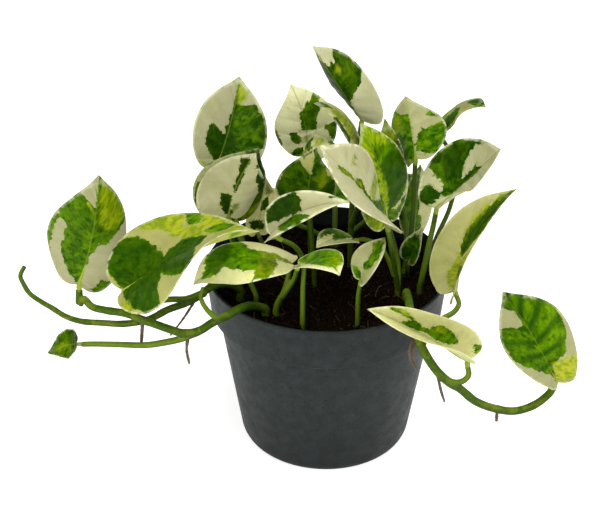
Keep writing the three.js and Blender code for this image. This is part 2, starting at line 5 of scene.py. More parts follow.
import bmesh
import bpy
import numpy as np
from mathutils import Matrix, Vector, kdtree, noise


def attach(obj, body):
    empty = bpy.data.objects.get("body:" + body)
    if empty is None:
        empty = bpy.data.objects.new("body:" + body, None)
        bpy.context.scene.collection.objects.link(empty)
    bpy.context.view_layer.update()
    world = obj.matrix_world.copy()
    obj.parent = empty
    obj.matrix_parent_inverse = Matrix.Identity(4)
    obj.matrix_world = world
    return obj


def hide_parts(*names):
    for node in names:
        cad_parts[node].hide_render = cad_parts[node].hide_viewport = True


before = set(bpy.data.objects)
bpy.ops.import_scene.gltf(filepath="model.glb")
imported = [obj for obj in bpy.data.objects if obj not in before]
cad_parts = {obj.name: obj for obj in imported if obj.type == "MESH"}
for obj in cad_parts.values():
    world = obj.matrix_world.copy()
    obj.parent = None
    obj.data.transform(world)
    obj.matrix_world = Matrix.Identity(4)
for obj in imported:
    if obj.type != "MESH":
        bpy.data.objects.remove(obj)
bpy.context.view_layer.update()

MM = 0.001

# Pot, in millimetres
POT_HEIGHT = 96
RIM_RADIUS = 60
COLLAR_HEIGHT = 22
COLLAR_BOTTOM_RADIUS = 58
BODY_TOP_RADIUS = 54.5
BODY_BOTTOM_RADIUS = 44
BOTTOM_ROUND = 3
WALL = 1.2
FLOOR_THICKNESS = 1.6
BOTTOM_BEVEL = 0.9
LIP_HEIGHT = 1.8
LIP_DEPTH = 0.15
LIP_SLOPE = 0.6
DRAIN_COUNT = 6
DRAIN_RADIUS = 4
DRAIN_CIRCLE = 28
STEP_HEIGHT = POT_HEIGHT - COLLAR_HEIGHT
POT_SEGMENTS = 160
DRAIN_SEGMENTS = 40
CORNER_REACH = 0.5
CORNER_STEPS = 4

# Soil
SOIL_LEVEL = 86
SOIL_RINGS = 70
SOIL_SEGMENTS = 170
SOIL_FOOT_DEPTH = 12
CLEARANCE = 0.3
CRUMB_COUNT = 1500
SMALLEST_CRUMB = 0.35
CRUMB_RANGE = 1.5
CRUMB_LUMPS = 0.25
FIBRE_COUNT = 45
FIBRE_PIECES = 5
FIBRE_STEP = 2.2
FIBRE_TURN = 0.6
FIBRE_RADII = (0.12, 0.28)
SOIL_SEED = 11

# Leaf blades: half outline from base to tip as (share of length, share of width)
HALF_OUTLINE = np.array([
    (0, 0), (-0.05, 0.12), (-0.03, 0.27), (0.12, 0.44), (0.34, 0.5),
    (0.58, 0.43), (0.78, 0.26), (0.92, 0.09), (1, 0),
], float)
BLADE_ROWS = 66
BLADE_COLUMNS = 18
VEIN_SWEEP = 1.8
VEIN_SPACING = 5.5
FEWEST_VEINS = 5
BEND_STEPS = 12
EDGE_CROWDING = 0.55 * math.pi / 2
PATCH_SIDE_PARTS = 6
NECK_LENGTH = 3
NECK_RADIUS = 1.15
NECK_SWELLING = 0.22
NECK_SIDES = 12

# Relief of a blade that is as wide as this or wider, in millimetres
FULL_WIDTH = 34
EDGE_HALF_THICKNESS = 0.13
EXTRA_AT_RIB = 0.2
THINNEST = 0.16
RIB_SUNK_ABOVE = 0.28
RIB_RAISED_BELOW = 0.5
VEIN_SUNK_ABOVE = 0.12
VEIN_RAISED_BELOW = 0.06
PUCKER_ABOVE = 0.11
PUCKER_BELOW = 0.03
MARGIN_WAVE = 0.55

# Stems
STEM_STEP = 1.2
STEM_SIDES = 14
STEM_VOXEL = 0.34
CURVE_PARTS = 16
ROOT_RADIUS = 0.95
VINE_RADIUS = 2
STALK_KIND = 0.0
VINE_KIND = 1.0
ROOT_KIND = 2.0
NODE_SPACING = 19
NODE_SWELLING = 0.07
SHEATH_SWELLING = 0.25
SHEATH_LENGTH = 6
TUBE_SHIFT = 40
# Painted light on stems: the side facing this way is coloured lighter, the side away from it darker
PAINTED_LIGHT_SIDE = Vector((-0.5, -0.2, 0.84))

# Light, floor and camera: places in metres, turns in degrees, lens and sensor in millimetres
LIGHT_AIM = (0, 0, 0.1)
LIGHTS = {
    "key": {"place": (-0.5, -1.1, 1.1), "size": 0.9, "power": 6.3},
    "top": {"place": (0.3, -0.2, 1.5), "size": 1.0, "power": 13},
    "right": {"place": (1.2, -0.7, 0.5), "size": 0.9, "power": 6},
    "low": {"place": (-0.7, -1.1, 0.2), "size": 0.8, "power": 4.2},
}
WORLD_STRENGTH = 0.40
FLOOR_REACH = 8.0
CAMERA_PLACE = (0, -0.549, 0.430)
CAMERA_TILT = 59
CAMERA_TURN = 1.38
CAMERA_LENS = 77.7
CAMERA_SENSOR = 36

# Colours, as red, green and blue light; the two of a pair are the ends of a blend
WHITE = (1, 1, 1, 1)
FLOOR_COLOUR = (0.94, 0.94, 0.94, 1)
DEEP_GREEN = (0.004, 0.027, 0.0003), (0.012, 0.060, 0.0005)
FRESH_GREEN = (0.054, 0.148, 0.0006), (0.150, 0.280, 0.0008)
DARK_PATCH = (0.006, 0.028, 0.0004)
# Painted shade beside the sunk side veins
PAINTED_SHADE_BESIDE_VEIN = (0.012, 0.055, 0.001)
YELLOW_PATCH = (0.37, 0.37, 0.010), (0.15, 0.22, 0.001)
BRIGHT_GREEN_PATCH = (0.22, 0.33, 0.002), (0.085, 0.19, 0.001)
NEUTRAL_CREAM = (0.43, 0.415, 0.22), (0.56, 0.545, 0.37)
WARM_CREAM = (0.44, 0.435, 0.08), (0.58, 0.565, 0.19)
CREAM_CLOUD = (0.34, 0.35, 0.14)
CREAM_SPECK = (0.27, 0.31, 0.04)
HALF_GREEN = (0.20, 0.27, 0.03)
# Light rim colour: partly the leaf's own pale margin, partly a painted highlight along the edge
LEAF_EDGE_AND_HIGHLIGHT = (0.78, 0.76, 0.50)
MIDRIB = (0.27, 0.32, 0.05), (0.17, 0.26, 0.02)
LEAF_UNDERSIDE = (0.24, 0.30, 0.07)
LEAF_IN_SHADE = (0.004, 0.02, 0.001)
LEAF_GLOSS = (0.85, 1.0, 0.35, 1)
# Stalk colours on the side in painted shade, then on the side in painted light
STALK_PAINTED_SHADE = (0.008, 0.028, 0.001), (0.026, 0.062, 0.002)
STALK_PAINTED_LIGHT = (0.085, 0.155, 0.005), (0.21, 0.29, 0.02)
# Painted shade for stalks at the rear of the plant
STALK_PAINTED_SHADE_AT_REAR = (0.008, 0.024, 0.001)
# Vine colours on the side in painted shade, then on the side in painted light
VINE_PAINTED_SHADE = (0.006, 0.022, 0.001), (0.022, 0.055, 0.002)
VINE_PAINTED_LIGHT = (0.055, 0.115, 0.004), (0.15, 0.20, 0.012)
VINE_BLOTCH = (0.10, 0.07, 0.02)
NODE_RING = (0.10, 0.08, 0.02)
ROOT_BROWN = (0.040, 0.024, 0.014), (0.17, 0.12, 0.08)
EARTH = (0.0007, 0.0004, 0.0002), (0.010, 0.005, 0.0022)
EARTH_FLECK = (0.085, 0.040, 0.018)
STRAW = (0.04, 0.022, 0.010), (0.17, 0.11, 0.06)
POT_GREY = (0.006, 0.0088, 0.0084), (0.011, 0.0156, 0.015)
POT_MOTTLE = (0.017, 0.025, 0.024)
POT_PIT = (0.001, 0.002, 0.002)
DUST = (0.09, 0.092, 0.08)
# Grime and painted shade under the collar's overhang
SHADE_AND_GRIME_UNDER_COLLAR = (0.002, 0.003, 0.003)
# Painted shade towards the pot's foot
PAINTED_SHADE_LOW_ON_POT = (0.003, 0.004, 0.004)

# What a leaf has where nothing else is said. Its looks are: rim, how pale the very edge is, partly its own
# pale margin and partly a painted highlight on the edge; warm, how yellow the cream; pale and
# lively, the brightness of the cream and the green, partly the leaf's own and partly painted light
# and shade for how the lamps fall on it; gold, how yellow the light patches; broken, how ragged these are;
# depth, how dark the green; veined, how dark the painted shade beside the side veins; shade, how far
# it lies in the dark.
USUAL_LEAF = {
    "arch": 2, "sway": 0, "twist": 0, "slot": "leaf_green", "rim": 0.3, "warm": 0.3, "shade": 0,
    "gold": 0.5, "broken": 1, "depth": 0.1, "pale": 1, "veined": 0.4, "lively": 1,
}
LOOKS = ("rim", "warm", "shade", "gold", "broken", "depth", "pale", "veined", "lively")
ALL_GREEN = ("green", (-1, 1), (1, 1), (1, 0), (-1, 0))


def leaf_with(marks, **values):
    return {**USUAL_LEAF, "marks": marks, **values}


# Each leaf has its marks first: patches laid over cream in turn, with corners as (across from -1 at the
# left margin to 1, along the veins from 0 at the base to 1). Then come base, tip, the point its stalk
# comes from, the way its upper face looks, width, fold and curl of the left and right half, arch and
# sway of the midrib, and twist.
LEAVES = {
    "leaf_left_tip": leaf_with([
        ("green", (0, .97), (1, .96), (1, .6), (.6, .58), (.35, .54), (.2, .58), (.05, .5), (0, .3),
         (-.1, .1), (-.3, .18), (-.5, .3), (-.62, .42), (-.62, .6), (-1, .65), (-1, .79), (-.5, .81),
         (-.05, .83)),
        ("green", (-1, .64), (-.88, .62), (-.87, .5), (-.95, .4), (-1, .38)),
        ("green", (.6, .3), (1, .33), (1, .18), (.7, .2)),
        ("lime", (.12, .78), (.3, .88), (.7, .93), (1, .9), (1, .62), (.6, .6), (.35, .64), (.2, .7)),
        ("lime", (-.5, .81), (-.1, .82), (-.1, .76), (-.5, .78)),
    ], base=(-115, -42, 109), tip=(-101, -43, 167), stalk=(-115, -45, 100), face=(0.2, -0.97, 0), width=43,
       fold=(-14, -14), curl=(-13, -48), arch=0, sway=2, twist=-40, warm=0.2, pale=0.7, lively=1.05,
       gold=0.45, broken=1.5),
    "leaf_left_broad": leaf_with([
        ("dark", (-1, .36), (-.85, .42), (-.5, .47), (-.2, .52), (.1, .6), (.45, .52), (.7, .48), (1, .46),
         (1, .36), (.85, .28), (.6, .22), (.4, .14), (.1, .03), (0, .01), (-.2, .08), (-.5, .13),
         (-.7, .18), (-1, .25)),
        ("dark", (-.5, .66), (-.45, .7), (-.2, .71), (0, .72), (.4, .72), (.7, .69), (1, .67), (1, .6),
         (.7, .55), (.4, .5), (.2, .46), (-.1, .5), (-.3, .55), (-.45, .6)),
        ("lime", (-1, .88), (-.6, .84), (-.52, .72), (-.45, .6), (-.6, .54), (-.85, .46), (-1, .4)),
        ("lime", (-1, .95), (1, .9), (1, .82), (.2, .84), (-.3, .87), (-1, .86)),
        ("green", (-.95, .76), (-.7, .75), (-.52, .7), (-.6, .66), (-.9, .7)),
        ("green", (-1, .62), (-.75, .63), (-.75, .58), (-1, .57)),
        ("green", (0, .88), (.5, .9), (1, .88), (1, .84), (.4, .85)),
        ("lime", (.7, .27), (1, .32), (1, .2), (.75, .18)),
    ], base=(-90, -66, 121), tip=(-29, -67, 153), stalk=(-89, -58, 113), face=(-0.44, 0.29, 0.85), width=60,
       fold=(14, 20), curl=(27, -66), arch=3.5, sway=-4, twist=48, rim=0.5, warm=0.9, pale=0.75, lively=1.5,
       gold=0.7, broken=1.7),
    "leaf_left_young": leaf_with([
        ALL_GREEN,
        ("lime", (-.5, .85), (.3, .9), (.5, .6), (-.3, .5)),
    ], base=(-117, -52, 82), tip=(-129, -61, 83), stalk=(-108, -53, 83), face=(0.47, -0.59, 0.66), width=15,
       fold=(-7, -2), curl=(-44, 11), arch=7, twist=-38, rim=0.1, lively=0.65, gold=0.1, broken=2),
    "leaf_rear_left_tall": leaf_with([
        ("green", (-.12, .95), (.2, .95), (.3, .86), (.2, .8), (.5, .76), (.9, .72), (1, .64), (1, .5),
         (.6, .46), (.3, .38), (.1, .2), (-.1, .2), (-.3, .3), (-.5, .4), (-.6, .53), (-.3, .55),
         (-.03, .5), (-.03, .7), (-.12, .8)),
        ("dark", (-.15, .97), (.1, .95), (.1, .6), (.3, .5), (.2, .25), (-.1, .2), (-.6, .4), (-.6, .55),
         (-.1, .55), (-.1, .8)),
        ("lime", (.1, .93), (.6, .92), (.85, .82), (.6, .77), (.3, .76), (.15, .8)),
        ("lime", (-1, .25), (-.7, .28), (-.6, .15), (-1, .12)),
    ], base=(-54, 8, 145), tip=(-44, 40, 179), stalk=(-51, 7, 131), face=(0.4, -0.65, 0.65), width=39,
       fold=(20, 15), curl=(-5, 0), sway=1, twist=5, slot="leaf_cream", rim=0.4, warm=0.15, pale=0.78,
       lively=1.05, depth=0.5),
    "leaf_left_cream": leaf_with([
        ("dark", (-.85, .92), (-.3, .93), (.1, .95), (.12, .8), (.04, .6), (-.04, .6), (-.08, .7),
         (-.2, .77), (-.5, .82), (-.85, .84)),
        ("dark", (-.34, .52), (0, .55), (.02, .3), (.18, .28), (.1, .12), (0, .1), (-.2, .2), (-.28, .35)),
        ("lime", (.05, .45), (.24, .46), (.25, .3), (.05, .3)),
        ("dark", (.7, .75), (.93, .85), (1, .85), (1, .5), (.85, .5), (.72, .6)),
    ], base=(-46, -22, 135), tip=(-32, -34, 174), stalk=(-46, -14, 121), face=(-0.3, -0.9, -0.2), width=33,
       fold=(5, 0), curl=(20, -90), sway=-2, twist=40, slot="leaf_cream", warm=0.2, pale=0.76, lively=0.5),
    "leaf_left_shaded": leaf_with([
        ALL_GREEN,
        ("cream", (-1, .85), (-.75, .88), (-.85, .6), (-1, .45)),
        ("lime", (.3, .3), (1, .35), (1, .12), (.4, .15)),
    ], base=(-44, -2, 121), tip=(-32, -7, 163), stalk=(-40, -5, 108), face=(0.35, -0.9, -0.3), width=42,
       fold=(-15, -10), curl=(-25, -35), arch=0, sway=-5, twist=-5, warm=0.5, shade=0.45),
    "leaf_left_pale": leaf_with([
        ("green", (-.1, .72), (.4, .74), (.4, .62), (0, .6)),
        ("green", (-.8, .45), (.2, .46), (.3, .3), (0, .22), (-.5, .3)),
        ("lime", (.2, .95), (1, .9), (1, .72), (.2, .78)),
    ], base=(-35, 14, 106), tip=(-31, 23, 133), stalk=(-32, 12, 99), face=(0.6, -0.8, 0.2), width=19,
       fold=(15, 20), curl=(-10, -5), sway=-1, slot="leaf_cream", rim=0.2, warm=0.6, pale=1.6, lively=0.5,
       shade=0.25),
    "leaf_rear_centre_cream": leaf_with([
        ("green", (-.15, .75), (.4, .77), (.6, .74), (1, .75), (1, .7), (.6, .65), (.3, .5), (.1, .53),
         (-.15, .55)),
        ("green", (-.5, .5), (-.3, .52), (-.2, .45), (-.3, .35), (-.5, .4)),
        ("lime", (-.12, .46), (.12, .46), (0, .33)),
        ("green", (-1, .55), (-.9, .52), (-.9, .4), (-1, .35)),
        ("green", (-1, .25), (-.4, .32), (-.1, .3), (-.2, .2), (-.6, .12), (-1, .15)),
        ("green", (.6, .5), (1, .5), (1, .38), (.8, .4)),
    ], base=(-10, 18, 149), tip=(-18, 10, 188), stalk=(-10, 18, 135), face=(0.35, -0.9, -0.2), width=31,
       fold=(5, 5), curl=(-50, -10), arch=1, sway=2, twist=-10, slot="leaf_cream", warm=0.1, pale=1.6,
       lively=1.3, depth=0.4),
    "leaf_rear_centre_small": leaf_with([
        ("green", (-1, .95), (0, .97), (.5, .92), (.4, .82), (-1, .83)),
        ("green", (-1, .45), (0, .45), (.2, .35), (.2, .1), (-1, .1)),
        ("lime", (-.4, .75), (.1, .72), (.1, .5), (-.8, .5)),
    ], base=(-11, -2, 159), tip=(5, 0, 161), stalk=(-12, -1, 150), face=(0, -0.5, 0.85), width=15,
       fold=(-20, -20), curl=(0, 0), arch=5, slot="leaf_cream"),
    "leaf_rear_centre_folded": leaf_with([
        ("green", (-1, 1), (1, 1), (1, .84), (.2, .82), (-1, .86)),
        ("lime", (-.6, .8), (0, .84), (.3, .7), (.2, .3), (1, .3), (1, .1), (-.4, .1), (-.7, .4)),
        ("dark", (-1, .72), (-.72, .67), (-.7, .4), (-1, .35)),
    ], base=(14, 3, 162), tip=(-7, 2, 182), stalk=(15, 4, 150), face=(0.65, -0.15, 0.75), width=19,
       fold=(0, 0), curl=(-15, -40), arch=4, sway=2, twist=-10, slot="leaf_cream", warm=0.6, pale=0.7,
       lively=0.6, gold=0.4, broken=1.8),
    "leaf_centre_green": leaf_with([
        ALL_GREEN,
        ("cream", (-.95, .92), (0, .93), (.22, .89), (.1, .76), (-.5, .77), (-.9, .79)),
        ("cream", (.86, .75), (1, .8), (1, .4), (.92, .45)),
        ("lime", (.2, .72), (.8, .78), (.85, .7), (.4, .6)),
    ], base=(-9, -8, 135), tip=(-5, -24, 172), stalk=(-8, -7, 124), face=(-0.35, -0.85, -0.35), width=31,
       fold=(10, 15), curl=(10, -100), arch=4, twist=20, rim=0.2, warm=0.8, depth=0.3, shade=0.25),
    "leaf_front_arched": leaf_with([
        ("dark", (-1, .6), (-.6, .64), (-.1, .66), (-.15, .5), (-.3, .4), (-.6, .33), (-.95, .3)),
        ("green", (0, .55), (.4, .62), (1, .66), (1, .5), (.6, .45), (.3, .35), (.1, .3), (-.2, .33),
         (-.1, .45)),
        ("dark", (.3, .22), (1, .26), (1, .1), (.3, .08)),
        ("dark", (-1, .88), (-.85, .86), (-.85, .8), (-1, .8)),
    ], base=(-23, -36, 132), tip=(10, -44, 155), stalk=(-15, -32, 125), face=(-0.6, -0.15, 0.8), width=24,
       fold=(60, 45), curl=(35, -70), arch=7, sway=1, twist=-35, slot="leaf_cream", rim=0.8, warm=0.15,
       lively=1.1, depth=0.3),
    "leaf_front_left_flat": leaf_with([
        ("green", (-.66, .92), (-.4, .94), (0, .95), (.4, .9), (.7, .82), (1, .75), (1, .57), (.7, .55),
         (.45, .57), (.3, .5), (.3, .35), (.2, .2), (.1, .2), (.05, .33), (-.3, .33), (-.9, .38), (-1, .42),
         (-1, .52), (-.62, .5), (-.6, .6), (-.4, .7), (-.22, .79), (-.6, .8)),
        ("dark", (-.6, .9), (0, .93), (.4, .88), (1, .73), (1, .62), (.6, .62), (.2, .72), (0, .78),
         (-.2, .82)),
        ("lime", (-1, .52), (-.6, .5), (-.1, .5), (.1, .52), (.3, .5), (.3, .35), (.2, .2), (.08, .2),
         (.05, .33), (-.3, .33), (-.9, .38), (-1, .42)),
    ], base=(-17, -33, 116), tip=(-62, -40, 108), stalk=(-18, -33, 108), face=(-0.16, -0.01, 0.99),
       width=40, fold=(6, 10), curl=(-27, -29), arch=6, sway=4, twist=34, rim=0.9, warm=0.4, pale=1.85,
       lively=2.4, gold=0.35, broken=1.6),
    "leaf_front_small": leaf_with([
        ("green", (-1, .8), (-.6, .85), (-.2, .92), (.3, .92), (.55, .78), (.66, .62), (.45, .45), (.1, .3),
         (-.3, .2), (-1, .15)),
        ("lime", (-1, .8), (-.3, .92), (.1, .92), (.1, .82), (-.3, .68), (-1, .6)),
        ("lime", (.5, .4), (1, .5), (1, .3), (.7, .2)),
    ], base=(-13, -39, 119), tip=(6, -57, 125), stalk=(-15, -36, 110), face=(-0.15, 0.2, 0.96), width=22,
       fold=(15, 10), curl=(-10, -10), arch=3, sway=-3, rim=1, warm=0.4, pale=1.6, lively=2.4, gold=0.2,
       depth=0),
    "leaf_front_right_small": leaf_with([
        ("green", (-1, 1), (1, 1), (.9, .9), (.75, .8), (.78, .6), (.5, .5), (.3, .45), (.1, .4), (-.1, .4),
         (-.3, .52), (-.1, .62), (-.15, .72), (-.5, .77), (-1, .8)),
        ("green", (-1, .36), (-.6, .42), (-.3, .4), (-.12, .3), (-.15, .12), (-.5, .05), (-1, .1)),
        ("lime", (-1, 1), (1, 1), (.9, .9), (0, .86), (-1, .86)),
        ("lime", (0, .3), (.8, .3), (.8, .1), (0, .1)),
    ], base=(16, -38, 111), tip=(27, -26, 127), stalk=(15, -38, 102), face=(-0.5, -0.45, 0.75), width=17,
       fold=(20, 20), curl=(5, 0), arch=4, sway=2, twist=-15, slot="leaf_cream", rim=0.7, warm=0.4,
       pale=0.9, lively=1.6, gold=0.2),
    "leaf_front_sliver": leaf_with([
        ("green", (-.5, .67), (.1, .66), (.42, .56), (.6, .66), (.85, .82), (1, .8), (1, .15), (.5, .12),
         (.2, .3), (-.1, .45), (-.3, .55)),
        ("lime", (.4, .35), (1, .4), (1, .2), (.6, .18)),
    ], base=(12, -14, 118), tip=(-5, -30, 123), stalk=(18, -13, 118), face=(0.2, 0.1, 0.97), width=17,
       fold=(15, 15), curl=(0, -10), sway=1, rim=0.7, warm=0.4, pale=1.7, lively=1.5),
    "leaf_centre_cream": leaf_with([
        ("green", (-.5, .8), (-.1, .84), (.06, .82), (.1, .7), (.28, .62), (.14, .56), (.12, .5), (.3, .41),
         (1, .34), (1, .25), (.4, .28), (.02, .4), (.02, .6), (0, .7), (-.2, .76)),
        ("lime", (-.4, .81), (.04, .82), (.1, .68), (.22, .62), (.1, .58), (.05, .7)),
        ("lime", (.1, .52), (.5, .5), (1, .48), (1, .42), (.4, .42), (.15, .44)),
        ("lime", (.38, .73), (.56, .71), (.5, .67)),
        ("lime", (.6, .71), (.72, .7), (.66, .66)),
    ], base=(28, -22, 131), tip=(-4, -28, 175), stalk=(30, -23, 121), face=(0.8, -0.19, 0.56), width=43,
       fold=(20, 12), curl=(-20, 6), arch=1, sway=1, twist=60, slot="leaf_cream", rim=0.7, warm=0.15,
       pale=0.87, lively=0.9),
    "leaf_centre_striped": leaf_with([
        ALL_GREEN,
        ("dark", (.12, .7), (.4, .7), (1, .62), (1, .46), (.6, .4), (.3, .3), (.1, .15), (0, .2),
         (.12, .4)),
        ("dark", (-.2, .84), (.3, .82), (.3, .76), (-.1, .74)),
        ("lime", (-1, 1), (1, 1), (1, .7), (.6, .73), (.35, .8), (.1, .86), (-.1, .8), (-.2, .7),
         (-1, .72)),
        ("lime", (-.3, .72), (0, .72), (.12, .5), (.1, .3), (.05, .2), (-.05, .25), (-.2, .45)),
        ("cream", (.35, .3), (.7, .36), (1, .45), (1, .4), (.7, .32), (.5, .28)),
        ("lime", (-1, .55), (-.5, .5), (-.4, .2), (-1, .1)),
    ], base=(29, 1, 121), tip=(15, 3, 172), stalk=(32, 0, 111), face=(0.65, -0.75, 0.17), width=38,
       fold=(15, -10), curl=(-10, 5), sway=2, twist=5, warm=0.4, pale=1.1, lively=1.4, gold=0.35,
       broken=2.4, depth=0, veined=0.7),
    "leaf_top": leaf_with([
        ("green", (-1, .9), (-.3, .93), (0, .9), (.15, .83), (.25, .78), (.5, .77), (.58, .72), (.68, .76),
         (1, .75), (1, .57), (.6, .54), (.3, .52), (.08, .48), (0, .4), (-.1, .2), (-1, .3)),
        ("dark", (-1, .9), (-.2, .93), (0, .86), (.15, .7), (.2, .56), (.05, .45), (-.1, .2), (-1, .3)),
        ("lime", (.22, .74), (.5, .73), (.5, .68), (.25, .67)),
        ("lime", (.35, .2), (1, .24), (1, .1), (.4, .1)),
    ], base=(16, 20, 165), tip=(-8, 35, 197), stalk=(15, 21, 154), face=(-0.42, -0.9, 0.1), width=35,
       fold=(-37, -4), curl=(-31, 21), arch=9, sway=5, twist=-10, slot="leaf_cream", warm=0, pale=1.15,
       lively=0.9, depth=0.3),
    "leaf_rear_right": leaf_with([
        ("green", (-1, .78), (-.5, .77), (-.05, .8), (0, .7), (0, .1), (-.4, .08), (-.5, .3), (-1, .3)),
        ("lime", (-.9, .76), (-.5, .75), (-.3, .62), (-.9, .6)),
        ("lime", (-1, .3), (-.5, .3), (-.4, .12), (-1, .1)),
        ("green", (.03, .33), (.15, .48), (.3, .58), (.45, .56), (.9, .56), (1, .5), (1, .28), (.3, .27),
         (.05, .28)),
        ("green", (.7, .68), (.95, .7), (.9, .63)),
    ], base=(42, 10, 150), tip=(38, 43, 168), stalk=(42, 9, 138), face=(-0.45, -0.4, 0.8), width=34,
       fold=(-5, -20), curl=(-65, 5), sway=1, twist=-45, warm=0.4, pale=0.78, lively=1.5, gold=0.3,
       depth=0.2),
    "leaf_rear_right_twisted": leaf_with([
        ("dark", (-1, .96), (1, .98), (1, .84), (0, .79), (-.3, .74), (-1, .76)),
        ("dark", (.05, .6), (.4, .68), (.9, .62), (.9, .3), (.5, .36), (.2, .33)),
        ("lime", (-1, .5), (0, .58), (.3, .58), (.3, .25), (-1, .25)),
    ], base=(54, 36, 153), tip=(76, 26, 170), stalk=(60, 31, 144), face=(-0.5, 0.25, 0.8), width=22,
       fold=(15, 5), curl=(-50, -55), arch=5, sway=-5, twist=15, slot="leaf_cream", rim=0.2, warm=0.8,
       pale=0.6, lively=1.7, gold=0.3, broken=2.4),
    "leaf_right_green": leaf_with([
        ("green", (-1, .87), (-.8, .73), (-.55, .65), (-.3, .58), (-.14, .55), (-.1, .66), (.05, .76),
         (.1, .74), (.03, .6), (0, .45), (-.08, .3), (-.2, .34), (-.4, .41), (-1, .42)),
        ("dark", (-.9, .7), (-.6, .62), (-.3, .55), (-.2, .46), (-.5, .46), (-.9, .5)),
        ("dark", (-.32, .75), (-.16, .69), (0, .77), (.1, .76), (.04, .62), (0, .4), (-.1, .35), (-.14, .5),
         (-.14, .66)),
        ("dark", (-.95, .31), (-.7, .36), (-.3, .34), (-.18, .28), (-.5, .2), (-1, .12)),
    ], base=(52, -8, 133), tip=(79, -13, 167), stalk=(51, -7, 123), face=(-0.79, -0.15, 0.6), width=41,
       fold=(33, 3), curl=(27, 32), arch=-6, sway=-9, twist=-18, rim=0.7, warm=0.15, lively=1.3,
       depth=0.45),
    "leaf_right_long": leaf_with([
        ("green", (-.7, .97), (1, 1), (1, .66), (.6, .6), (0, .5), (-.18, .54), (-.3, .64), (-.38, .74),
         (-.55, .82), (-.85, .9)),
        ("dark", (-.3, .95), (1, .97), (1, .7), (.4, .6), (0, .52), (-.15, .56), (-.24, .7), (-.35, .85)),
        ("lime", (-.95, .93), (-.6, .86), (-.4, .78), (-.36, .66), (-.5, .68), (-.7, .8)),
        ("lime", (-.36, .68), (-.26, .6), (-.15, .53), (0, .5), (1, .6), (1, .5), (.6, .42), (.3, .3),
         (.1, .18), (-.4, .18), (-.3, .3), (-.12, .42)),
        ("green", (0, .45), (.5, .5), (1, .52), (1, .46), (.5, .42), (.1, .36)),
        ("lime", (-.45, .3), (-.3, .42), (-.12, .54), (0, .5), (0, .14), (-.3, .13)),
    ], base=(61, -30, 100), tip=(85, -33, 157), stalk=(62.5, -36, 97.5), face=(-0.88, -0.32, 0.36),
       width=31, fold=(35, 35), curl=(60, -15), arch=6, sway=-2, slot="leaf_cream", rim=0.2, warm=0.7,
       pale=0.97, lively=1.2, gold=0.9, broken=1.5),
    "leaf_right_shaded": leaf_with([
        ALL_GREEN,
        ("cream", (1, .95), (.4, .9), (.1, .7), (.15, .5), (.6, .3), (1, .3)),
    ], base=(44, 20, 102), tip=(46, 30, 137), stalk=(43, 18, 94), face=(0.7, -0.7, 0.15), width=24,
       fold=(5, 5), curl=(-25, -5), arch=0, twist=20, warm=0.4, pale=1.2, lively=1.1, shade=0.35),
    "leaf_front_right_low": leaf_with([
        ("green", (0, .78), (.12, .77), (.3, .71), (.36, .66), (.2, .6), (.2, .55), (.35, .58), (.48, .51),
         (.5, .46), (.36, .36), (.25, .36), (.1, .42), (.05, .5), (.08, .6), (.03, .68), (0, .72)),
        ("lime", (.25, .55), (.4, .54), (.42, .46), (.28, .46)),
        ("green", (.34, .7), (.5, .76), (.75, .81), (1, .83), (1, .81), (.6, .74), (.38, .67)),
        ("green", (.62, .26), (.8, .28), (1, .24), (1, .14), (.8, .14), (.62, .18)),
        ("lime", (.4, .72), (.7, .79), (1, .79), (1, .75), (.6, .7)),
    ], base=(65, -62, 83), tip=(18, -72, 117), stalk=(66, -64, 76), face=(0.58, -0.52, 0.63), width=38,
       fold=(47, 51), curl=(16, 61), arch=-4.5, sway=4, twist=27, slot="leaf_cream", rim=0.7, warm=0.4,
       pale=1.25, lively=1.6, gold=0.6),
    "leaf_right_tip": leaf_with([
        ("green", (-.9, .95), (0, .97), (1, .95), (1, .66), (.85, .58), (.7, .5), (.45, .42), (.1, .38),
         (.05, .1), (-.15, .1), (-.2, .28), (-.6, .4), (-.95, .5), (-1, .7), (-.5, .71), (-.2, .74),
         (-.1, .79), (-.3, .84), (-1, .83)),
        ("lime", (.1, .38), (1, .4), (1, .2), (.5, .12), (.12, .14)),
    ], base=(110, -48, 61), tip=(85, -20, 94), stalk=(107, -51, 57), face=(0.3, -0.55, 0.78), width=45,
       fold=(25, 35), curl=(-25, -60), arch=1, sway=1, twist=45, warm=0.4, pale=0.68, lively=1.15, gold=0.9,
       broken=1.5, depth=0, veined=1),
    "leaf_rear_sliver": leaf_with([
        ALL_GREEN,
        ("lime", (-1, 1), (1, 1), (1, .7), (-1, .7)),
    ], base=(33, 18, 134), tip=(27, 19, 167), stalk=(36, 17, 124), face=(0.2, -0.9, 0.3), width=13,
       fold=(10, 10), curl=(0, 0), arch=0),
    "leaf_right_inner_small": leaf_with([
        ("green", (-.9, .78), (0, .85), (.7, .72), (1, .6), (1, .1), (-1, .1)),
    ], base=(41, -3, 101), tip=(46, -6, 121), stalk=(40, -1, 94), face=(-0.5, -0.8, 0.3), width=14,
       fold=(40, 40), curl=(0, 0), arch=0, rim=0.5, pale=0.9, lively=1.6, depth=0.6, shade=0.3),
    "leaf_rear_low_left": leaf_with([
        ("green", (-.8, .9), (.1, .95), (.3, .7), (.1, .45), (.5, .35), (.9, .4), (.9, .2), (.2, .1),
         (-.2, .3), (-.7, .35), (-.9, .6)),
        ("green", (.4, .8), (.9, .75), (.9, .6), (.5, .62)),
        ("lime", (-.8, .6), (-.2, .62), (-.3, .45), (-.8, .42)),
    ], base=(-30, 38, 104), tip=(-54, 64, 98), stalk=(-23, 35, 101), face=(-0.3, 0.4, 0.85), width=32,
       fold=(15, 15), curl=(-20, -20), arch=4, sway=2, twist=10, rim=0.4),
    "leaf_rear_low_centre": leaf_with([
        ("green", (-.1, .9), (.9, .88), (1, .55), (.6, .5), (.7, .3), (.1, .12), (-.2, .3), (-.05, .55),
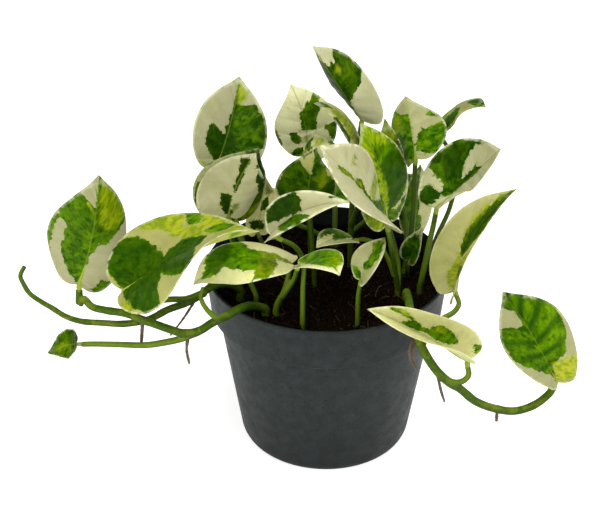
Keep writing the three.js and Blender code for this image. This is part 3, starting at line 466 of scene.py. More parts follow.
         (-.5, .6), (-.4, .8)),
        ("green", (-.9, .4), (-.4, .42), (-.4, .25), (-.9, .2)),
        ("lime", (.3, .75), (.8, .75), (.8, .62), (.3, .62)),
    ], base=(4, 42, 108), tip=(10, 82, 100), stalk=(4, 36, 103), face=(0.1, 0.3, 0.95), width=33,
       fold=(15, 10), curl=(-15, -25), arch=5, sway=-2, twist=-10),
    "leaf_rear_low_right": leaf_with([
        ("green", (-.7, .8), (0, .86), (0, .5), (.1, .2), (-.2, .15), (-.4, .4), (-.8, .5)),
        ("green", (.3, .62), (.9, .62), (.8, .42), (.3, .45)),
        ("lime", (.1, .4), (.6, .4), (.6, .3), (.1, .25)),
    ], base=(30, 38, 112), tip=(56, 68, 110), stalk=(24, 34, 106), face=(0.2, 0.5, 0.85), width=30,
       fold=(15, 15), curl=(-20, -10), arch=4, sway=1, slot="leaf_cream"),
}

# Each stem: the tubes fused in it, each with its path, its radius at start and end, and the leaf it
# holds. The first tube of a stem starts below the soil.
STEMS = {
    "vine_left": [
        dict(path=[(-29, -32, 90), (-32, -34, 92.5), (-35, -38, 95.5), (-38, -43, 98.4), (-42, -48, 99.4),
             (-46, -52, 99), (-52, -56, 98), (-58, -60, 96), (-65, -62, 96), (-71, -62, 98), (-77, -60, 99),
             (-83, -58, 100), (-92, -54, 101), (-102, -50, 100), (-109, -47, 100), (-113, -45, 103)],
             radius=(2.2, 1.7), holds="leaf_left_tip"),
        dict(path=[(-58, -60, 96), (-66, -62, 93), (-74, -61, 90), (-83, -59, 87), (-96, -56, 85)],
             radius=(1.7, 1.3), holds="leaf_left_young"),
        dict(path=[(-46, -52, 99), (-50, -58, 102), (-55, -57, 107), (-57, -55, 111), (-56, -53, 115)],
             radius=(1.5, 1)),
        dict(path=[(-63, -61, 93), (-64, -61, 86), (-63, -62, 79)], radius=(0.8, 0.5)),
        dict(path=[(-84, -57, 99), (-85, -55, 92), (-86, -55, 83)], radius=(0.9, 0.7)),
    ],
    "vine_left_long": [
        dict(path=[(-42, -18, 92), (-48, -22, 98), (-55, -27, 99), (-60, -33, 98), (-66, -40, 98),
             (-74, -46, 98), (-82, -51, 96), (-93, -52, 94), (-105, -50, 93), (-115, -46, 91),
             (-123, -42, 91), (-130, -38, 93), (-136, -34, 94), (-142, -30, 96), (-145, -27, 99),
             (-147, -24, 102), (-145, -22, 106)], radius=(2.2, 1.1)),
        dict(path=[(-58, -31, 98), (-66, -41, 101), (-71, -46, 104), (-81, -52, 107)], radius=(1.6, 1.3),
             holds="leaf_left_broad"),
        dict(path=[(-62, -36, 97), (-67, -42, 91), (-73, -48, 85)], radius=(0.7, 0.4)),
    ],
    "vine_right": [
        dict(path=[(39, -16, 90), (39, -23, 93), (39, -34, 97), (39, -45, 99), (40, -54, 98.5),
             (42, -61, 94.5), (46, -66, 88), (51, -68, 81), (57, -68, 74.5), (62, -66, 70), (70, -65, 62),
             (80, -62, 55.5), (90, -59, 52), (100, -55, 53)], radius=(2.2, 1.9), holds="leaf_right_tip"),
        dict(path=[(53, -68, 78.5), (58, -68, 75), (63, -66, 74)], radius=(1.6, 1.3),
             holds="leaf_front_right_low"),
        dict(path=[(40, -54, 98.5), (48, -54, 98), (55, -49, 98), (60, -43, 97.5)], radius=(1.5, 1.2),
             holds="leaf_right_long"),
        dict(path=[(51, -68, 81), (53, -70, 72), (55, -71, 66)], radius=(0.8, 0.5)),
        dict(path=[(81, -62, 55), (81, -63, 49)], radius=(0.9, 0.7)),
        dict(path=[(41, -60, 95.5), (38, -65, 91), (39, -65, 85), (41.5, -65, 80)], radius=(0.7, 0.5)),
        dict(path=[(41, -60, 95.5), (40, -65, 90), (41, -64.5, 82)], radius=(0.6, 0.4)),
    ],
    "stem_front_left": [
        dict(path=[(-24, -31, 89), (-23, -31, 93), (-20, -32, 100)], radius=(1.8, 1.3),
             holds="leaf_front_left_flat"),
        dict(path=[(-21, -32, 97), (-18, -34, 103)], radius=(1.3, 1.1), holds="leaf_front_small"),
    ],
    "stem_front_arched": [
        dict(path=[(-11, -41, 89), (-11, -36, 103), (-11, -30, 116)], radius=(1.4, 1.1),
             holds="leaf_front_arched"),
    ],
    "stem_front_right_small": [
        dict(path=[(15, -38, 89)], radius=(1.4, 1.1), holds="leaf_front_right_small"),
    ],
    "stem_centre_right": [
        dict(path=[(35, -11, 89), (33, -16, 103)], radius=(1.6, 1.2), holds="leaf_centre_cream"),
        dict(path=[(35, -10, 90), (35, -4, 101)], radius=(1.4, 1.2), holds="leaf_centre_striped"),
        dict(path=[(33, -15, 99), (29, -14, 109), (25, -13, 115)], radius=(1.2, 1.1),
             holds="leaf_front_sliver"),
    ],
    "stem_right": [
        dict(path=[(46, -9, 89), (47, -10, 97), (49, -9, 112)], radius=(1.7, 1.3),
             holds="leaf_right_green"),
    ],
    "stem_rear_right_twisted": [
        dict(path=[(48, 0, 90), (54, 4, 110), (60, 11, 122), (63, 20, 134)], radius=(1.3, 1.1),
             holds="leaf_rear_right_twisted"),
    ],
    "stem_rear_right": [
        dict(path=[(39, 6, 89), (41, 6, 104), (42, 7, 121)], radius=(1.5, 1.2), holds="leaf_rear_right"),
        dict(path=[(39, 6, 89), (42, 13, 91)], radius=(1.4, 1.2), holds="leaf_right_shaded"),
        dict(path=[(40, 6, 100), (39, 14, 113)], radius=(1.3, 1.1), holds="leaf_rear_sliver"),
        dict(path=[(39, 6, 88), (40, 2, 90)], radius=(1.3, 1.1), holds="leaf_right_inner_small"),
    ],
    "stem_top": [
        dict(path=[(12, 14, 90), (12, 16, 109), (13, 21, 134)], radius=(1.7, 1.3), holds="leaf_top"),
        dict(path=[(12, 16, 109), (15, 10, 124), (16, 5, 139)], radius=(1.4, 1.1),
             holds="leaf_rear_centre_folded"),
    ],
    "stem_centre": [
        dict(path=[(-6, -4, 90), (-7, -6, 110)], radius=(1.4, 1.2), holds="leaf_centre_green"),
    ],
    "stem_rear_centre": [
        dict(path=[(-8, 12, 90), (-9, 17, 118)], radius=(1.5, 1.2), holds="leaf_rear_centre_cream"),
        dict(path=[(-8, 13, 98), (-9, 5, 118), (-12, 0, 138)], radius=(1.4, 1.1),
             holds="leaf_rear_centre_small"),
    ],
    "stem_rear_left": [
        dict(path=[(-34, 2, 90), (-42, 4, 106), (-48, 6, 119)], radius=(1.6, 1.3),
             holds="leaf_rear_left_tall"),
        dict(path=[(-34, 2, 92), (-37, -3, 100)], radius=(1.5, 1.3), holds="leaf_left_shaded"),
        dict(path=[(-34, 2, 89), (-31, 8, 93)], radius=(1.3, 1.1), holds="leaf_left_pale"),
    ],
    "stem_left_cream": [
        dict(path=[(-34, -22, 91), (-38, -17, 98), (-43, -12, 108)], radius=(1.4, 1.2),
             holds="leaf_left_cream"),
    ],
    "stem_rear": [
        dict(path=[(4, 28, 89), (4, 30, 96)], radius=(1.9, 1.3), holds="leaf_rear_low_centre"),
        dict(path=[(4, 28, 90), (-8, 30, 98)], radius=(1.5, 1.2), holds="leaf_rear_low_left"),
        dict(path=[(4, 28, 90), (14, 31, 98)], radius=(1.5, 1.2), holds="leaf_rear_low_right"),
    ],
}


def unit(v):
    """The vectors, each made one long."""
    return v / np.linalg.norm(v, axis=-1, keepdims=True)


def centripetal(points, parts):
    """Smooth line through the points, each span cut in parts."""
    p = [np.array(q, float) for q in points]
    p = [2 * p[0] - p[1]] + p + [2 * p[-1] - p[-2]]
    line = []
    for i in range(1, len(p) - 2):
        a, b, c, d = p[i - 1:i + 3]
        before, here, after = (math.sqrt(np.linalg.norm(y - x)) for x, y in ((a, b), (b, c), (c, d)))
        start = ((b - a) / before - (c - a) / (before + here) + (c - b) / here) * here
        end = ((c - b) / here - (d - b) / (here + after) + (d - c) / after) * here
        for step in range(parts):
            f = step / parts
            line.append(b + start * f + (3 * (c - b) - 2 * start - end) * f ** 2
                        + (start + end - 2 * (c - b)) * f ** 3)
    line.append(p[-2])
    return np.array(line)


def even_line(points, step):
    """The smooth line with points about one step apart, and their distances along it."""
    line = centripetal(points, CURVE_PARTS)
    lengths = np.concatenate([[0], np.cumsum(np.linalg.norm(np.diff(line, axis=0), axis=1))])
    count = max(3, int(lengths[-1] / step) + 1)
    places = np.linspace(0, lengths[-1], count)
    even = np.stack([np.interp(places, lengths, line[:, axis]) for axis in range(3)], 1)
    return even, places


class Shells:
    """Closed shells gathered into one mesh, in millimetres."""

    def __init__(self):
        self.points = [np.zeros((0, 3))]
        self.faces = []
        self.count = 0

    def add(self, points, faces):
        self.faces += [tuple(self.count + i for i in face) for face in faces]
        self.points.append(points)
        self.count += len(points)

    def in_metres(self):
        return np.concatenate(self.points) * MM


def add_object(name, data):
    thing = bpy.data.objects.new(name, data)
    bpy.context.scene.collection.objects.link(thing)
    return thing


def write_fields(mesh, fields):
    """One number a point for each field."""
    for key, values in fields.items():
        attribute = mesh.attributes.new(key, "FLOAT", "POINT")
        attribute.data.foreach_set("value", np.asarray(values, np.float32))


def shell_object(name, shells, fields=None):
    mesh = bpy.data.meshes.new(name)
    mesh.from_pydata([tuple(p) for p in shells.in_metres()], [], shells.faces)
    mesh.update()
    write_fields(mesh, fields or {})
    mesh.shade_smooth()
    return add_object(name, mesh)


def apply_modifiers(piece):
    graph = bpy.context.evaluated_depsgraph_get()
    shaped = bpy.data.meshes.new_from_object(piece.evaluated_get(graph))
    piece.modifiers.clear()
    old = piece.data
    piece.data = shaped
    bpy.data.meshes.remove(old)


def ring_faces(rings, sides):
    """Faces around rings of points, closed by the two points that come after the rings."""
    faces = []
    for ring in range(rings - 1):
        for side in range(sides):
            a = ring * sides + side
            b = ring * sides + (side + 1) % sides
            faces.append((a, b, b + sides, a + sides))
    low, high = rings * sides, rings * sides + 1
    last = (rings - 1) * sides
    for side in range(sides):
        after = (side + 1) % sides
        faces.append((low, after, side))
        faces.append((high, last + side, last + after))
    return faces


def tube_shell(line, radii, sides):
    """Closed tube along a line, with a rounded end at both sides."""
    tangents = unit(np.gradient(line, axis=0))
    normal = np.cross(tangents[0], (0, 0, 1))
    if np.linalg.norm(normal) < 0.1:
        normal = np.cross(tangents[0], (1, 0, 0))
    angles = np.arange(sides) * 2 * math.pi / sides
    points = []
    for centre, tangent, radius in zip(line, tangents, radii):
        normal = unit(normal - tangent * (normal @ tangent))
        other = np.cross(tangent, normal)
        points.append(centre + radius * (np.cos(angles)[:, None] * normal + np.sin(angles)[:, None] * other))
    points.append([line[0] - tangents[0] * radii[0] * 0.5])
    points.append([line[-1] + tangents[-1] * radii[-1] * 0.5])
    return np.concatenate(points), ring_faces(len(line), sides)


def turned_shell(profile, segments):
    """Closed solid of revolution from a profile that starts and ends on the axis."""
    angles = np.arange(segments) * 2 * math.pi / segments
    points = [(r * math.cos(a), r * math.sin(a), z) for r, z in profile[1:-1] for a in angles]
    points += [(0, 0, profile[0][1]), (0, 0, profile[-1][1])]
    return np.array(points, float), ring_faces(len(profile) - 2, segments)


def smooth_noise(x, y, seed):
    return noise.noise(Vector((x, y, seed)))


def leaf_length(leaf):
    return np.linalg.norm(np.subtract(leaf["tip"], leaf["base"]))


def smooth_outline(k):
    """The half outline at k from 0 to 1, as share of length and share of width."""
    last = len(HALF_OUTLINE) - 1
    x = np.clip(k * last, 0, last - 1e-9)
    i = np.floor(x).astype(int)
    f = (x - i)[..., None]
    a, b, c, d = (HALF_OUTLINE[np.clip(i + j, 0, last)] for j in (-1, 0, 1, 2))
    return b + 0.5 * ((c - a) * f + (2 * a - 5 * b + 4 * c - d) * f ** 2 + (3 * b - a - 3 * c + d) * f ** 3)


def outline_place(leaf, k, across):
    """A point's share of the leaf's length, and its distance from the midrib on the flat leaf."""
    edge = smooth_outline(k)
    rib = k ** VEIN_SWEEP
    reach = np.abs(across)
    return rib + (edge[..., 0] - rib) * reach, edge[..., 1] * reach * leaf["width"]


def flat_place(leaf, k, across):
    """Where a point of the blade lies on the flattened leaf: across and along, in millimetres."""
    share, distance = outline_place(leaf, k, across)
    return distance * np.sign(across), share * leaf_length(leaf)


def blade_points(leaf, k, across):
    """Points of the blade's middle surface."""
    k, across = np.broadcast_arrays(np.asarray(k, float), np.asarray(across, float))
    base, tip = np.array(leaf["base"], float), np.array(leaf["tip"], float)
    length = leaf_length(leaf)
    along = (tip - base) / length
    side = unit(np.cross(along, leaf["face"]))
    face = np.cross(side, along)
    bend = face * leaf["arch"] + side * leaf["sway"]
    share, distance = outline_place(leaf, k, across)
    held = np.clip(share, 0, 1)
    bow = (4 * held * (1 - held))[..., None]
    slope = (4 * (1 - 2 * held))[..., None]
    on_rib = base + along * (length * share)[..., None] + bend * bow
    tangent = unit(along * length + bend * slope)
    local_side = unit(np.cross(tangent, np.broadcast_to(face, tangent.shape)))
    local_face = np.cross(local_side, tangent)
    turn = (math.radians(leaf["twist"]) * (held - 0.5))[..., None]
    turned_side = local_side * np.cos(turn) + local_face * np.sin(turn)
    turned_face = local_face * np.cos(turn) - local_side * np.sin(turn)
    fold = np.radians(np.where(across < 0, *leaf["fold"]))
    curl = np.radians(np.where(across < 0, *leaf["curl"]))
    outward = np.zeros_like(distance)
    upward = np.zeros_like(distance)
    for step in range(BEND_STEPS):
        angle = fold + curl * (step + 0.5) / BEND_STEPS * distance / (leaf["width"] / 2)
        outward = outward + np.cos(angle) * distance / BEND_STEPS
        upward = upward + np.sin(angle) * distance / BEND_STEPS
    return on_rib + turned_side * (outward * np.sign(across))[..., None] + turned_face * upward[..., None]


def blade_normals(leaf, k, across, step=0.01):
    """The way the upper face looks at each point."""
    k, t = np.asarray(k, float), np.asarray(across, float)
    up = blade_points(leaf, np.minimum(k + step, 1), t) - blade_points(leaf, np.maximum(k - step, 0), t)
    right = blade_points(leaf, k, np.minimum(t + step, 1)) - blade_points(leaf, k, np.maximum(t - step, -1))
    return unit(np.cross(right, up))


def patch_distance(leaf, corners, places):
    """Distance inside a patch's edge, in millimetres on the flattened leaf; negative outside it."""
    line = []
    for (x0, k0), (x1, k1) in zip(corners, corners[1:] + corners[:1]):
        for step in range(PATCH_SIDE_PARTS):
            f = step / PATCH_SIDE_PARTS
            line.append((x0 + (x1 - x0) * f, k0 + (k1 - k0) * f))
    line = np.array(line)
    outline = np.stack(flat_place(leaf, line[:, 1], line[:, 0]), 1)
    nearest = np.full(len(places), 1e9)
    inside = np.zeros(len(places), bool)
    for a, b in zip(outline, np.roll(outline, -1, axis=0)):
        span = b - a
        size = span @ span
        if size < 1e-12:
            continue
        f = np.clip(((places - a) @ span) / size, 0, 1)
        nearest = np.minimum(nearest, np.linalg.norm(places - a - f[:, None] * span, axis=1))
        crosses = (a[1] > places[:, 1]) != (b[1] > places[:, 1])
        with np.errstate(divide="ignore", invalid="ignore"):
            x = a[0] + (places[:, 1] - a[1]) * span[0] / span[1]
        inside ^= crosses & (places[:, 0] < x)
    return np.where(inside, nearest, -nearest)


def tone_fields(leaf, places):
    """How far each point lies inside the green, the yellow-green and the dark, in millimetres."""
    green, lime, dark = (np.full(len(places), -20.0) for _ in range(3))
    for tone, *corners in leaf["marks"]:
        inside = patch_distance(leaf, corners, places)
        if tone == "lime":
            lime = np.maximum(lime, inside)
            continue
        lime = np.minimum(lime, -inside)
        if tone == "cream":
            green = np.minimum(green, -inside)
        else:
            green = np.maximum(green, inside)
        if tone == "dark":
            dark = np.maximum(dark, inside)
    return {"green": green, "lime": lime, "dark": dark}


def blade_grid():
    """Each point's place along and across a blade, and the faces of its upper and lower skin."""
    rows, columns = BLADE_ROWS, 2 * BLADE_COLUMNS
    wide = columns + 1
    k_rows = np.linspace(0, 1, rows + 1)[1:-1]
    t_columns = np.sin(np.linspace(-1, 1, wide) * EDGE_CROWDING) / math.sin(EDGE_CROWDING)
    k = np.concatenate([[0.0], np.repeat(k_rows, wide), [1.0]])
    t = np.concatenate([[0.0], np.tile(t_columns, rows - 1), [0.0]])
    t[np.abs(t) < 1e-9] = 0
    count = len(k)

    def at(row, column):
        return 1 + (row - 1) * wide + column

    faces = []
    for column in range(columns):
        faces.append((0, at(1, column + 1), at(1, column)))
        faces.append((count - 1, at(rows - 1, column), at(rows - 1, column + 1)))
        for row in range(1, rows - 1):
            faces.append((at(row, column), at(row, column + 1), at(row + 1, column + 1), at(row + 1, column)))
    faces += [tuple(count + i for i in reversed(face)) for face in faces]
    ring = [0] + [at(row, columns) for row in range(1, rows)] + [count - 1]
    ring += [at(row, 0) for row in range(rows - 1, 0, -1)]
    for a, b in zip(ring, ring[1:] + ring[:1]):
        faces.append((a, a + count, b + count, b))
    return k, t, faces


def blade_relief(leaf, seed, k, t, fields):
    """Heights of the upper and the lower skin off the middle surface."""
    size = min(1.0, leaf["width"] / FULL_WIDTH)
    across, veins = fields["across"], fields["vein"]
    half = (EDGE_HALF_THICKNESS + EXTRA_AT_RIB * (1 - np.abs(t)) ** 0.7) * (0.75 + 0.25 * size)
    fade = np.clip(1 - fields["along"] / leaf_length(leaf), 0, 1)
    rib_width = 0.45 + 0.4 * fade
    rib_strength = 0.25 + 0.75 * fade
    in_rib = np.exp(-(across / rib_width) ** 2) * rib_strength * size
    vein_fade = np.clip(np.abs(across) / 1.5, 0, 1) * np.clip(fields["margin"] / 4, 0, 1)
    in_vein = np.exp(-((veins % 1 - 0.5) / 0.13) ** 2) * vein_fade * size
    pucker = np.cos(veins * 2 * math.pi) * vein_fade
    sway = [smooth_noise(v * 0.45, s * 1.3 + 0.5 * np.sign(s), seed * 3.1) for v, s in zip(veins, t)]
    wave = MARGIN_WAVE * size * np.array(sway) * np.abs(t) ** 2
    upper = half - RIB_SUNK_ABOVE * in_rib - VEIN_SUNK_ABOVE * in_vein + PUCKER_ABOVE * pucker
    lower = half + RIB_RAISED_BELOW * in_rib + VEIN_RAISED_BELOW * in_vein - PUCKER_BELOW * pucker
    upper = np.maximum(upper, THINNEST - lower)
    ends = np.clip(np.minimum(k / 0.05, (1 - k) / 0.04), 0.15, 1)
    return wave + upper * ends, wave - lower * ends


def neck_shell(leaf):
    """The swollen neck of the stalk, which runs out as the midrib's first part."""
    base = np.array(leaf["base"], float)
    inward = unit(base - leaf["stalk"])
    rib_middle, rib_end = blade_points(leaf, [0.25, 0.42], [0.0, 0.0])
    normal = blade_normals(leaf, [0.3], [0.0])[0]
    line, places = even_line([
        base - inward * NECK_LENGTH, base - inward * 1.4, base + inward * 0.2 - normal * 0.25,
        rib_middle - normal * 0.45, rib_end - normal * 0.2], 0.5)
    swelling = NECK_SWELLING * np.exp(-((places - 1.7) / 1.1) ** 2)
    size = 0.6 + 0.4 * min(1.0, leaf["width"] / FULL_WIDTH)
    thinning = (1 - places / places[-1]) ** 0.8
    return tube_shell(line, (NECK_RADIUS - 0.15 + swelling) * thinning * size + 0.2, NECK_SIDES)


def leaf_object(name, leaf, seed, grid):
    """A closed blade with its midrib and veins in relief, and the swollen neck of its stalk."""
    k, t, faces = grid
    across, along = flat_place(leaf, k, t)
    fields = tone_fields(leaf, np.stack([across, along], 1))
    fields["margin"] = smooth_outline(k)[:, 1] * leaf["width"] * (1 - np.abs(t)) * 0.9
    fields["vein"] = k * max(FEWEST_VEINS, round(leaf_length(leaf) / VEIN_SPACING))
    fields["across"] = across
    fields["along"] = along
    fields["under"] = np.zeros(len(k))
    middle = blade_points(leaf, k, t)
    normal = blade_normals(leaf, np.clip(k, 0.02, 0.98), t)
    upper, lower = blade_relief(leaf, seed, k, t, fields)
    shells = Shells()
    shells.add(np.concatenate([middle + normal * upper[:, None], middle + normal * lower[:, None]]), faces)
    neck_points, neck_faces = neck_shell(leaf)
    shells.add(neck_points, neck_faces)

    below = {**fields, "under": np.ones(len(k))}
    on_neck = {"green": -0.3, "lime": 1.5, "dark": -9.0, "margin": 9.0, "vein": 0.0, "across": 2.0,
               "along": 0.0, "under": 1.0}
    for key, value in on_neck.items():
        fields[key] = np.concatenate([fields[key], below[key], np.full(len(neck_points), value)])
    fields["seed"] = np.full(shells.count, seed * 7.3)
    for key in LOOKS:
        fields[key] = np.full(shells.count, leaf[key])
    return shell_object(name + "_blade", shells, fields)


def stem_path(tube, has_foot):
    """The tube's points, led down into the soil at its foot and up to its leaf's neck."""
    path = list(tube["path"])
    if has_foot:
        x, y = path[0][:2]
        path = [(x, y, SOIL_LEVEL - depth) for depth in (SOIL_FOOT_DEPTH, SOIL_FOOT_DEPTH / 2, 0)] + path
    if "holds" in tube:
        held = LEAVES[tube["holds"]]
        base = np.array(held["base"], float)
        path += [held["stalk"], tuple(base - unit(base - held["stalk"]) * (NECK_LENGTH - 0.2))]
    return path


def stem_object(name, tubes):
    """The tubes of a stem, fused smoothly, with its thin roots set on it."""
    stem, roots = Shells(), Shells()
    samples = []
    for number, tube in enumerate(tubes):
        line, places = even_line(stem_path(tube, number == 0), STEM_STEP)
        start, end = tube["radius"]
        radii = start + (end - start) * (places / places[-1])
        is_root = start < ROOT_RADIUS
        is_vine = start >= VINE_RADIUS
        if is_vine:
            phase = (places / NODE_SPACING + 0.37 * number) % 1
            radii = radii * (1 + NODE_SWELLING * np.exp(-((phase - 0.5) / 0.08) ** 2))
        elif is_root:
            radii = radii * np.array([1 + 0.3 * smooth_noise(p * 0.9, number, 5.5) for p in places])
        elif number > 0:
            radii = radii * (1 + SHEATH_SWELLING * np.exp(-(places / SHEATH_LENGTH) ** 2))
        shell = tube_shell(line, radii, STEM_SIDES)
        if is_root:
            roots.add(*shell)
        else:
            stem.add(*shell)
            kind = VINE_KIND if is_vine else STALK_KIND
            samples += [(p, kind, place + TUBE_SHIFT * number) for p, place in zip(line, places)]
    piece = shell_object(name + "_fine", stem)
    remesh = piece.modifiers.new("remesh", "REMESH")
    remesh.mode = "VOXEL"
    remesh.voxel_size = STEM_VOXEL * MM
    remesh.use_smooth_shade = True
    smooth = piece.modifiers.new("smooth", "SMOOTH")
    smooth.factor = 0.5
    smooth.iterations = 5
    apply_modifiers(piece)

    tree = kdtree.KDTree(len(samples))
    for index, sample in enumerate(samples):
        tree.insert(Vector(sample[0]), index)
    tree.balance()
    mesh = piece.data
    nearest = [samples[tree.find(vertex.co / MM)[1]] for vertex in mesh.vertices]
    fields = {
        "kind": [sample[1] for sample in nearest] + [ROOT_KIND] * roots.count,
        "place": [sample[2] for sample in nearest] + [0.0] * roots.count,
    }
    whole = bmesh.new()
    whole.from_mesh(mesh)
    start = len(whole.verts)
    for p in roots.in_metres():
        whole.verts.new(p)
    whole.verts.ensure_lookup_table()
    for face in roots.faces:
        whole.faces.new([whole.verts[start + i] for i in face])
    whole.to_mesh(mesh)
    whole.free()
    # Painted light: how far each point faces the lamps' side, which makes the stem's colour lighter there
    fields["painted_lit"] = [vertex.normal.dot(PAINTED_LIGHT_SIDE) for vertex in mesh.vertices]
    write_fields(mesh, fields)
    mesh.shade_smooth()
    return piece


def rounded(profile):
    """The profile with each of its corners rounded off."""
    p = [np.array(q, float) for q in profile]
    out = [tuple(p[0])]
    for before, here, after in zip(p, p[1:], p[2:]):
        shorter = min(np.linalg.norm(here - before), np.linalg.norm(after - here))
        size = min(CORNER_REACH, shorter * 0.45)
        a = here + unit(before - here) * size
        b = here + unit(after - here) * size
        for step in range(CORNER_STEPS + 1):
            f = step / CORNER_STEPS
            out.append(tuple(a * (1 - f) ** 2 + 2 * here * f * (1 - f) + b * f ** 2))
    out.append(tuple(p[-1]))
    return out


def body_radius(height):
    """The pot body's outer radius at a height."""
    share = (height - BOTTOM_ROUND) / (STEP_HEIGHT - BOTTOM_ROUND)
    return BODY_BOTTOM_RADIUS + (BODY_TOP_RADIUS - BODY_BOTTOM_RADIUS) * share


def collar_radius(height):
    """The collar's outer radius at a height."""
    share = (height - STEP_HEIGHT) / COLLAR_HEIGHT
    return COLLAR_BOTTOM_RADIUS + (RIM_RADIUS - COLLAR_BOTTOM_RADIUS) * share


def drain_cutters():
    """The round bars that the drainage holes are cut with."""
    bars = bmesh.new()
    for i in range(DRAIN_COUNT):
        angle = 2 * math.pi * i / DRAIN_COUNT
        before = set(bars.verts)
        bmesh.ops.create_cone(bars, cap_ends=True, segments=DRAIN_SEGMENTS, radius1=DRAIN_RADIUS * MM,
                              radius2=DRAIN_RADIUS * MM, depth=2 * DRAIN_RADIUS * MM)
        moved = [v for v in bars.verts if v not in before]
        shift = Vector((math.cos(angle), math.sin(angle), 0)) * DRAIN_CIRCLE * MM
        bmesh.ops.translate(bars, verts=moved, vec=shift)
    mesh = bpy.data.meshes.new("drains")
    bars.to_mesh(mesh)
    bars.free()
    return add_object("drains", mesh)


def pot_object():
    """The pot with its collar, rim and drainage holes, turned about its axis."""
    profile = [
        (0, 0), (BODY_BOTTOM_RADIUS - BOTTOM_ROUND, 0), (BODY_BOTTOM_RADIUS - BOTTOM_BEVEL, BOTTOM_BEVEL),
        (BODY_BOTTOM_RADIUS, BOTTOM_ROUND), (BODY_TOP_RADIUS, STEP_HEIGHT - 1),
        (COLLAR_BOTTOM_RADIUS, STEP_HEIGHT), (RIM_RADIUS - LIP_DEPTH, POT_HEIGHT - LIP_HEIGHT - LIP_SLOPE),
        (RIM_RADIUS, POT_HEIGHT - LIP_HEIGHT), (RIM_RADIUS, POT_HEIGHT), (RIM_RADIUS - WALL, POT_HEIGHT),
        (COLLAR_BOTTOM_RADIUS - WALL, STEP_HEIGHT + WALL), (BODY_TOP_RADIUS - WALL, STEP_HEIGHT - 1 + WALL),
        (BODY_BOTTOM_RADIUS - WALL, BOTTOM_ROUND), (BODY_BOTTOM_RADIUS - BOTTOM_ROUND, FLOOR_THICKNESS),
        (0, FLOOR_THICKNESS),
    ]
    shell = Shells()
    shell.add(*turned_shell(rounded(profile), POT_SEGMENTS))
    piece = shell_object("pot_shell", shell)
    bars = drain_cutters()
    cut = piece.modifiers.new("cut", "BOOLEAN")
    cut.object = bars
    cut.operation = "DIFFERENCE"
    cut.solver = "EXACT"
    apply_modifiers(piece)
    bpy.data.objects.remove(bars)
    piece.data.shade_smooth()
    return piece


def soil_height(x, y):
    """Height of the loose surface above the soil's level."""
    broad = 0.7 * math.sin(x * 0.31 + 1) * math.cos(y * 0.27)
    small = 0.42 * math.sin(x * 0.63 - y * 0.55)
    rough = 0.9 * noise.fractal(Vector((x * 0.35, y * 0.35, 2.0)), 0.6, 2.2, 4)
    return broad + small + rough


def soil_body(rim):
    """The filling of the pot, with a rough upper surface."""
    gap = WALL + CLEARANCE
    bottom = FLOOR_THICKNESS + CLEARANCE
    turn = BOTTOM_ROUND + 1
    side = [
        (0, bottom), (BODY_BOTTOM_RADIUS - BOTTOM_ROUND - CLEARANCE, bottom), (body_radius(turn) - gap, turn),
        (body_radius(STEP_HEIGHT - 1) - gap, STEP_HEIGHT - 1 + WALL),
        (collar_radius(STEP_HEIGHT) - gap, STEP_HEIGHT + gap + CLEARANCE), (rim, SOIL_LEVEL - 1),
    ]
    surface = [(rim * (1 - ring / SOIL_RINGS), SOIL_LEVEL) for ring in range(SOIL_RINGS + 1)]
    points, faces = turned_shell(side + surface, SOIL_SEGMENTS)
    for p in points:
        if p[2] > SOIL_LEVEL - 0.5:
            p[2] = SOIL_LEVEL + soil_height(p[0], p[1])
    return points, faces


def ball_shell():
    ball = bmesh.new()
    bmesh.ops.create_icosphere(ball, subdivisions=1, radius=1)
    points = np.array([v.co for v in ball.verts])
    faces = [tuple(v.index for v in f.verts) for f in ball.faces]
    ball.free()
    return points, faces


def place_on_soil(draw, reach):
    """A place drawn evenly from the round surface within reach."""
    angle = draw.uniform(0, 2 * math.pi)
    distance = reach * math.sqrt(draw.random())
    return distance * math.cos(angle), distance * math.sin(angle)


def crumb_points(draw, ball, rim):
    """A lumpy crumb somewhere on the soil."""
    x, y = place_on_soil(draw, rim - 1.5)
    size = SMALLEST_CRUMB + CRUMB_RANGE * draw.random() ** 3
    shape = np.array([draw.uniform(0.7, 1.4), draw.uniform(0.6, 1.1), draw.uniform(0.5, 0.9)]) * size
    turn = draw.uniform(0, math.pi)
    lumps = np.array([1 + draw.uniform(-CRUMB_LUMPS, CRUMB_LUMPS) for _ in ball])[:, None]
    u, v, w = (ball * lumps * shape).T
    cosine, sine = math.cos(turn), math.sin(turn)
    turned = np.stack([u * cosine - v * sine, u * sine + v * cosine, w], 1)
    return turned + (x, y, SOIL_LEVEL + soil_height(x, y) + 0.1 * size)


def fibre_shell(draw, rim):
    """A thin winding fibre that lies on the soil."""
    x, y = place_on_soil(draw, rim - 10)
    heading = draw.uniform(0, 2 * math.pi)
    radius = draw.uniform(*FIBRE_RADII)
    line = []
    for _ in range(FIBRE_PIECES):
        line.append((x, y, SOIL_LEVEL + soil_height(x, y) + radius + draw.uniform(0, 0.5)))
        heading += draw.uniform(-FIBRE_TURN, FIBRE_TURN)
        x += FIBRE_STEP * math.cos(heading)
        y += FIBRE_STEP * math.sin(heading)
    fibre, _ = even_line(line, 0.8)
    return tube_shell(fibre, np.full(len(fibre), radius), 5)


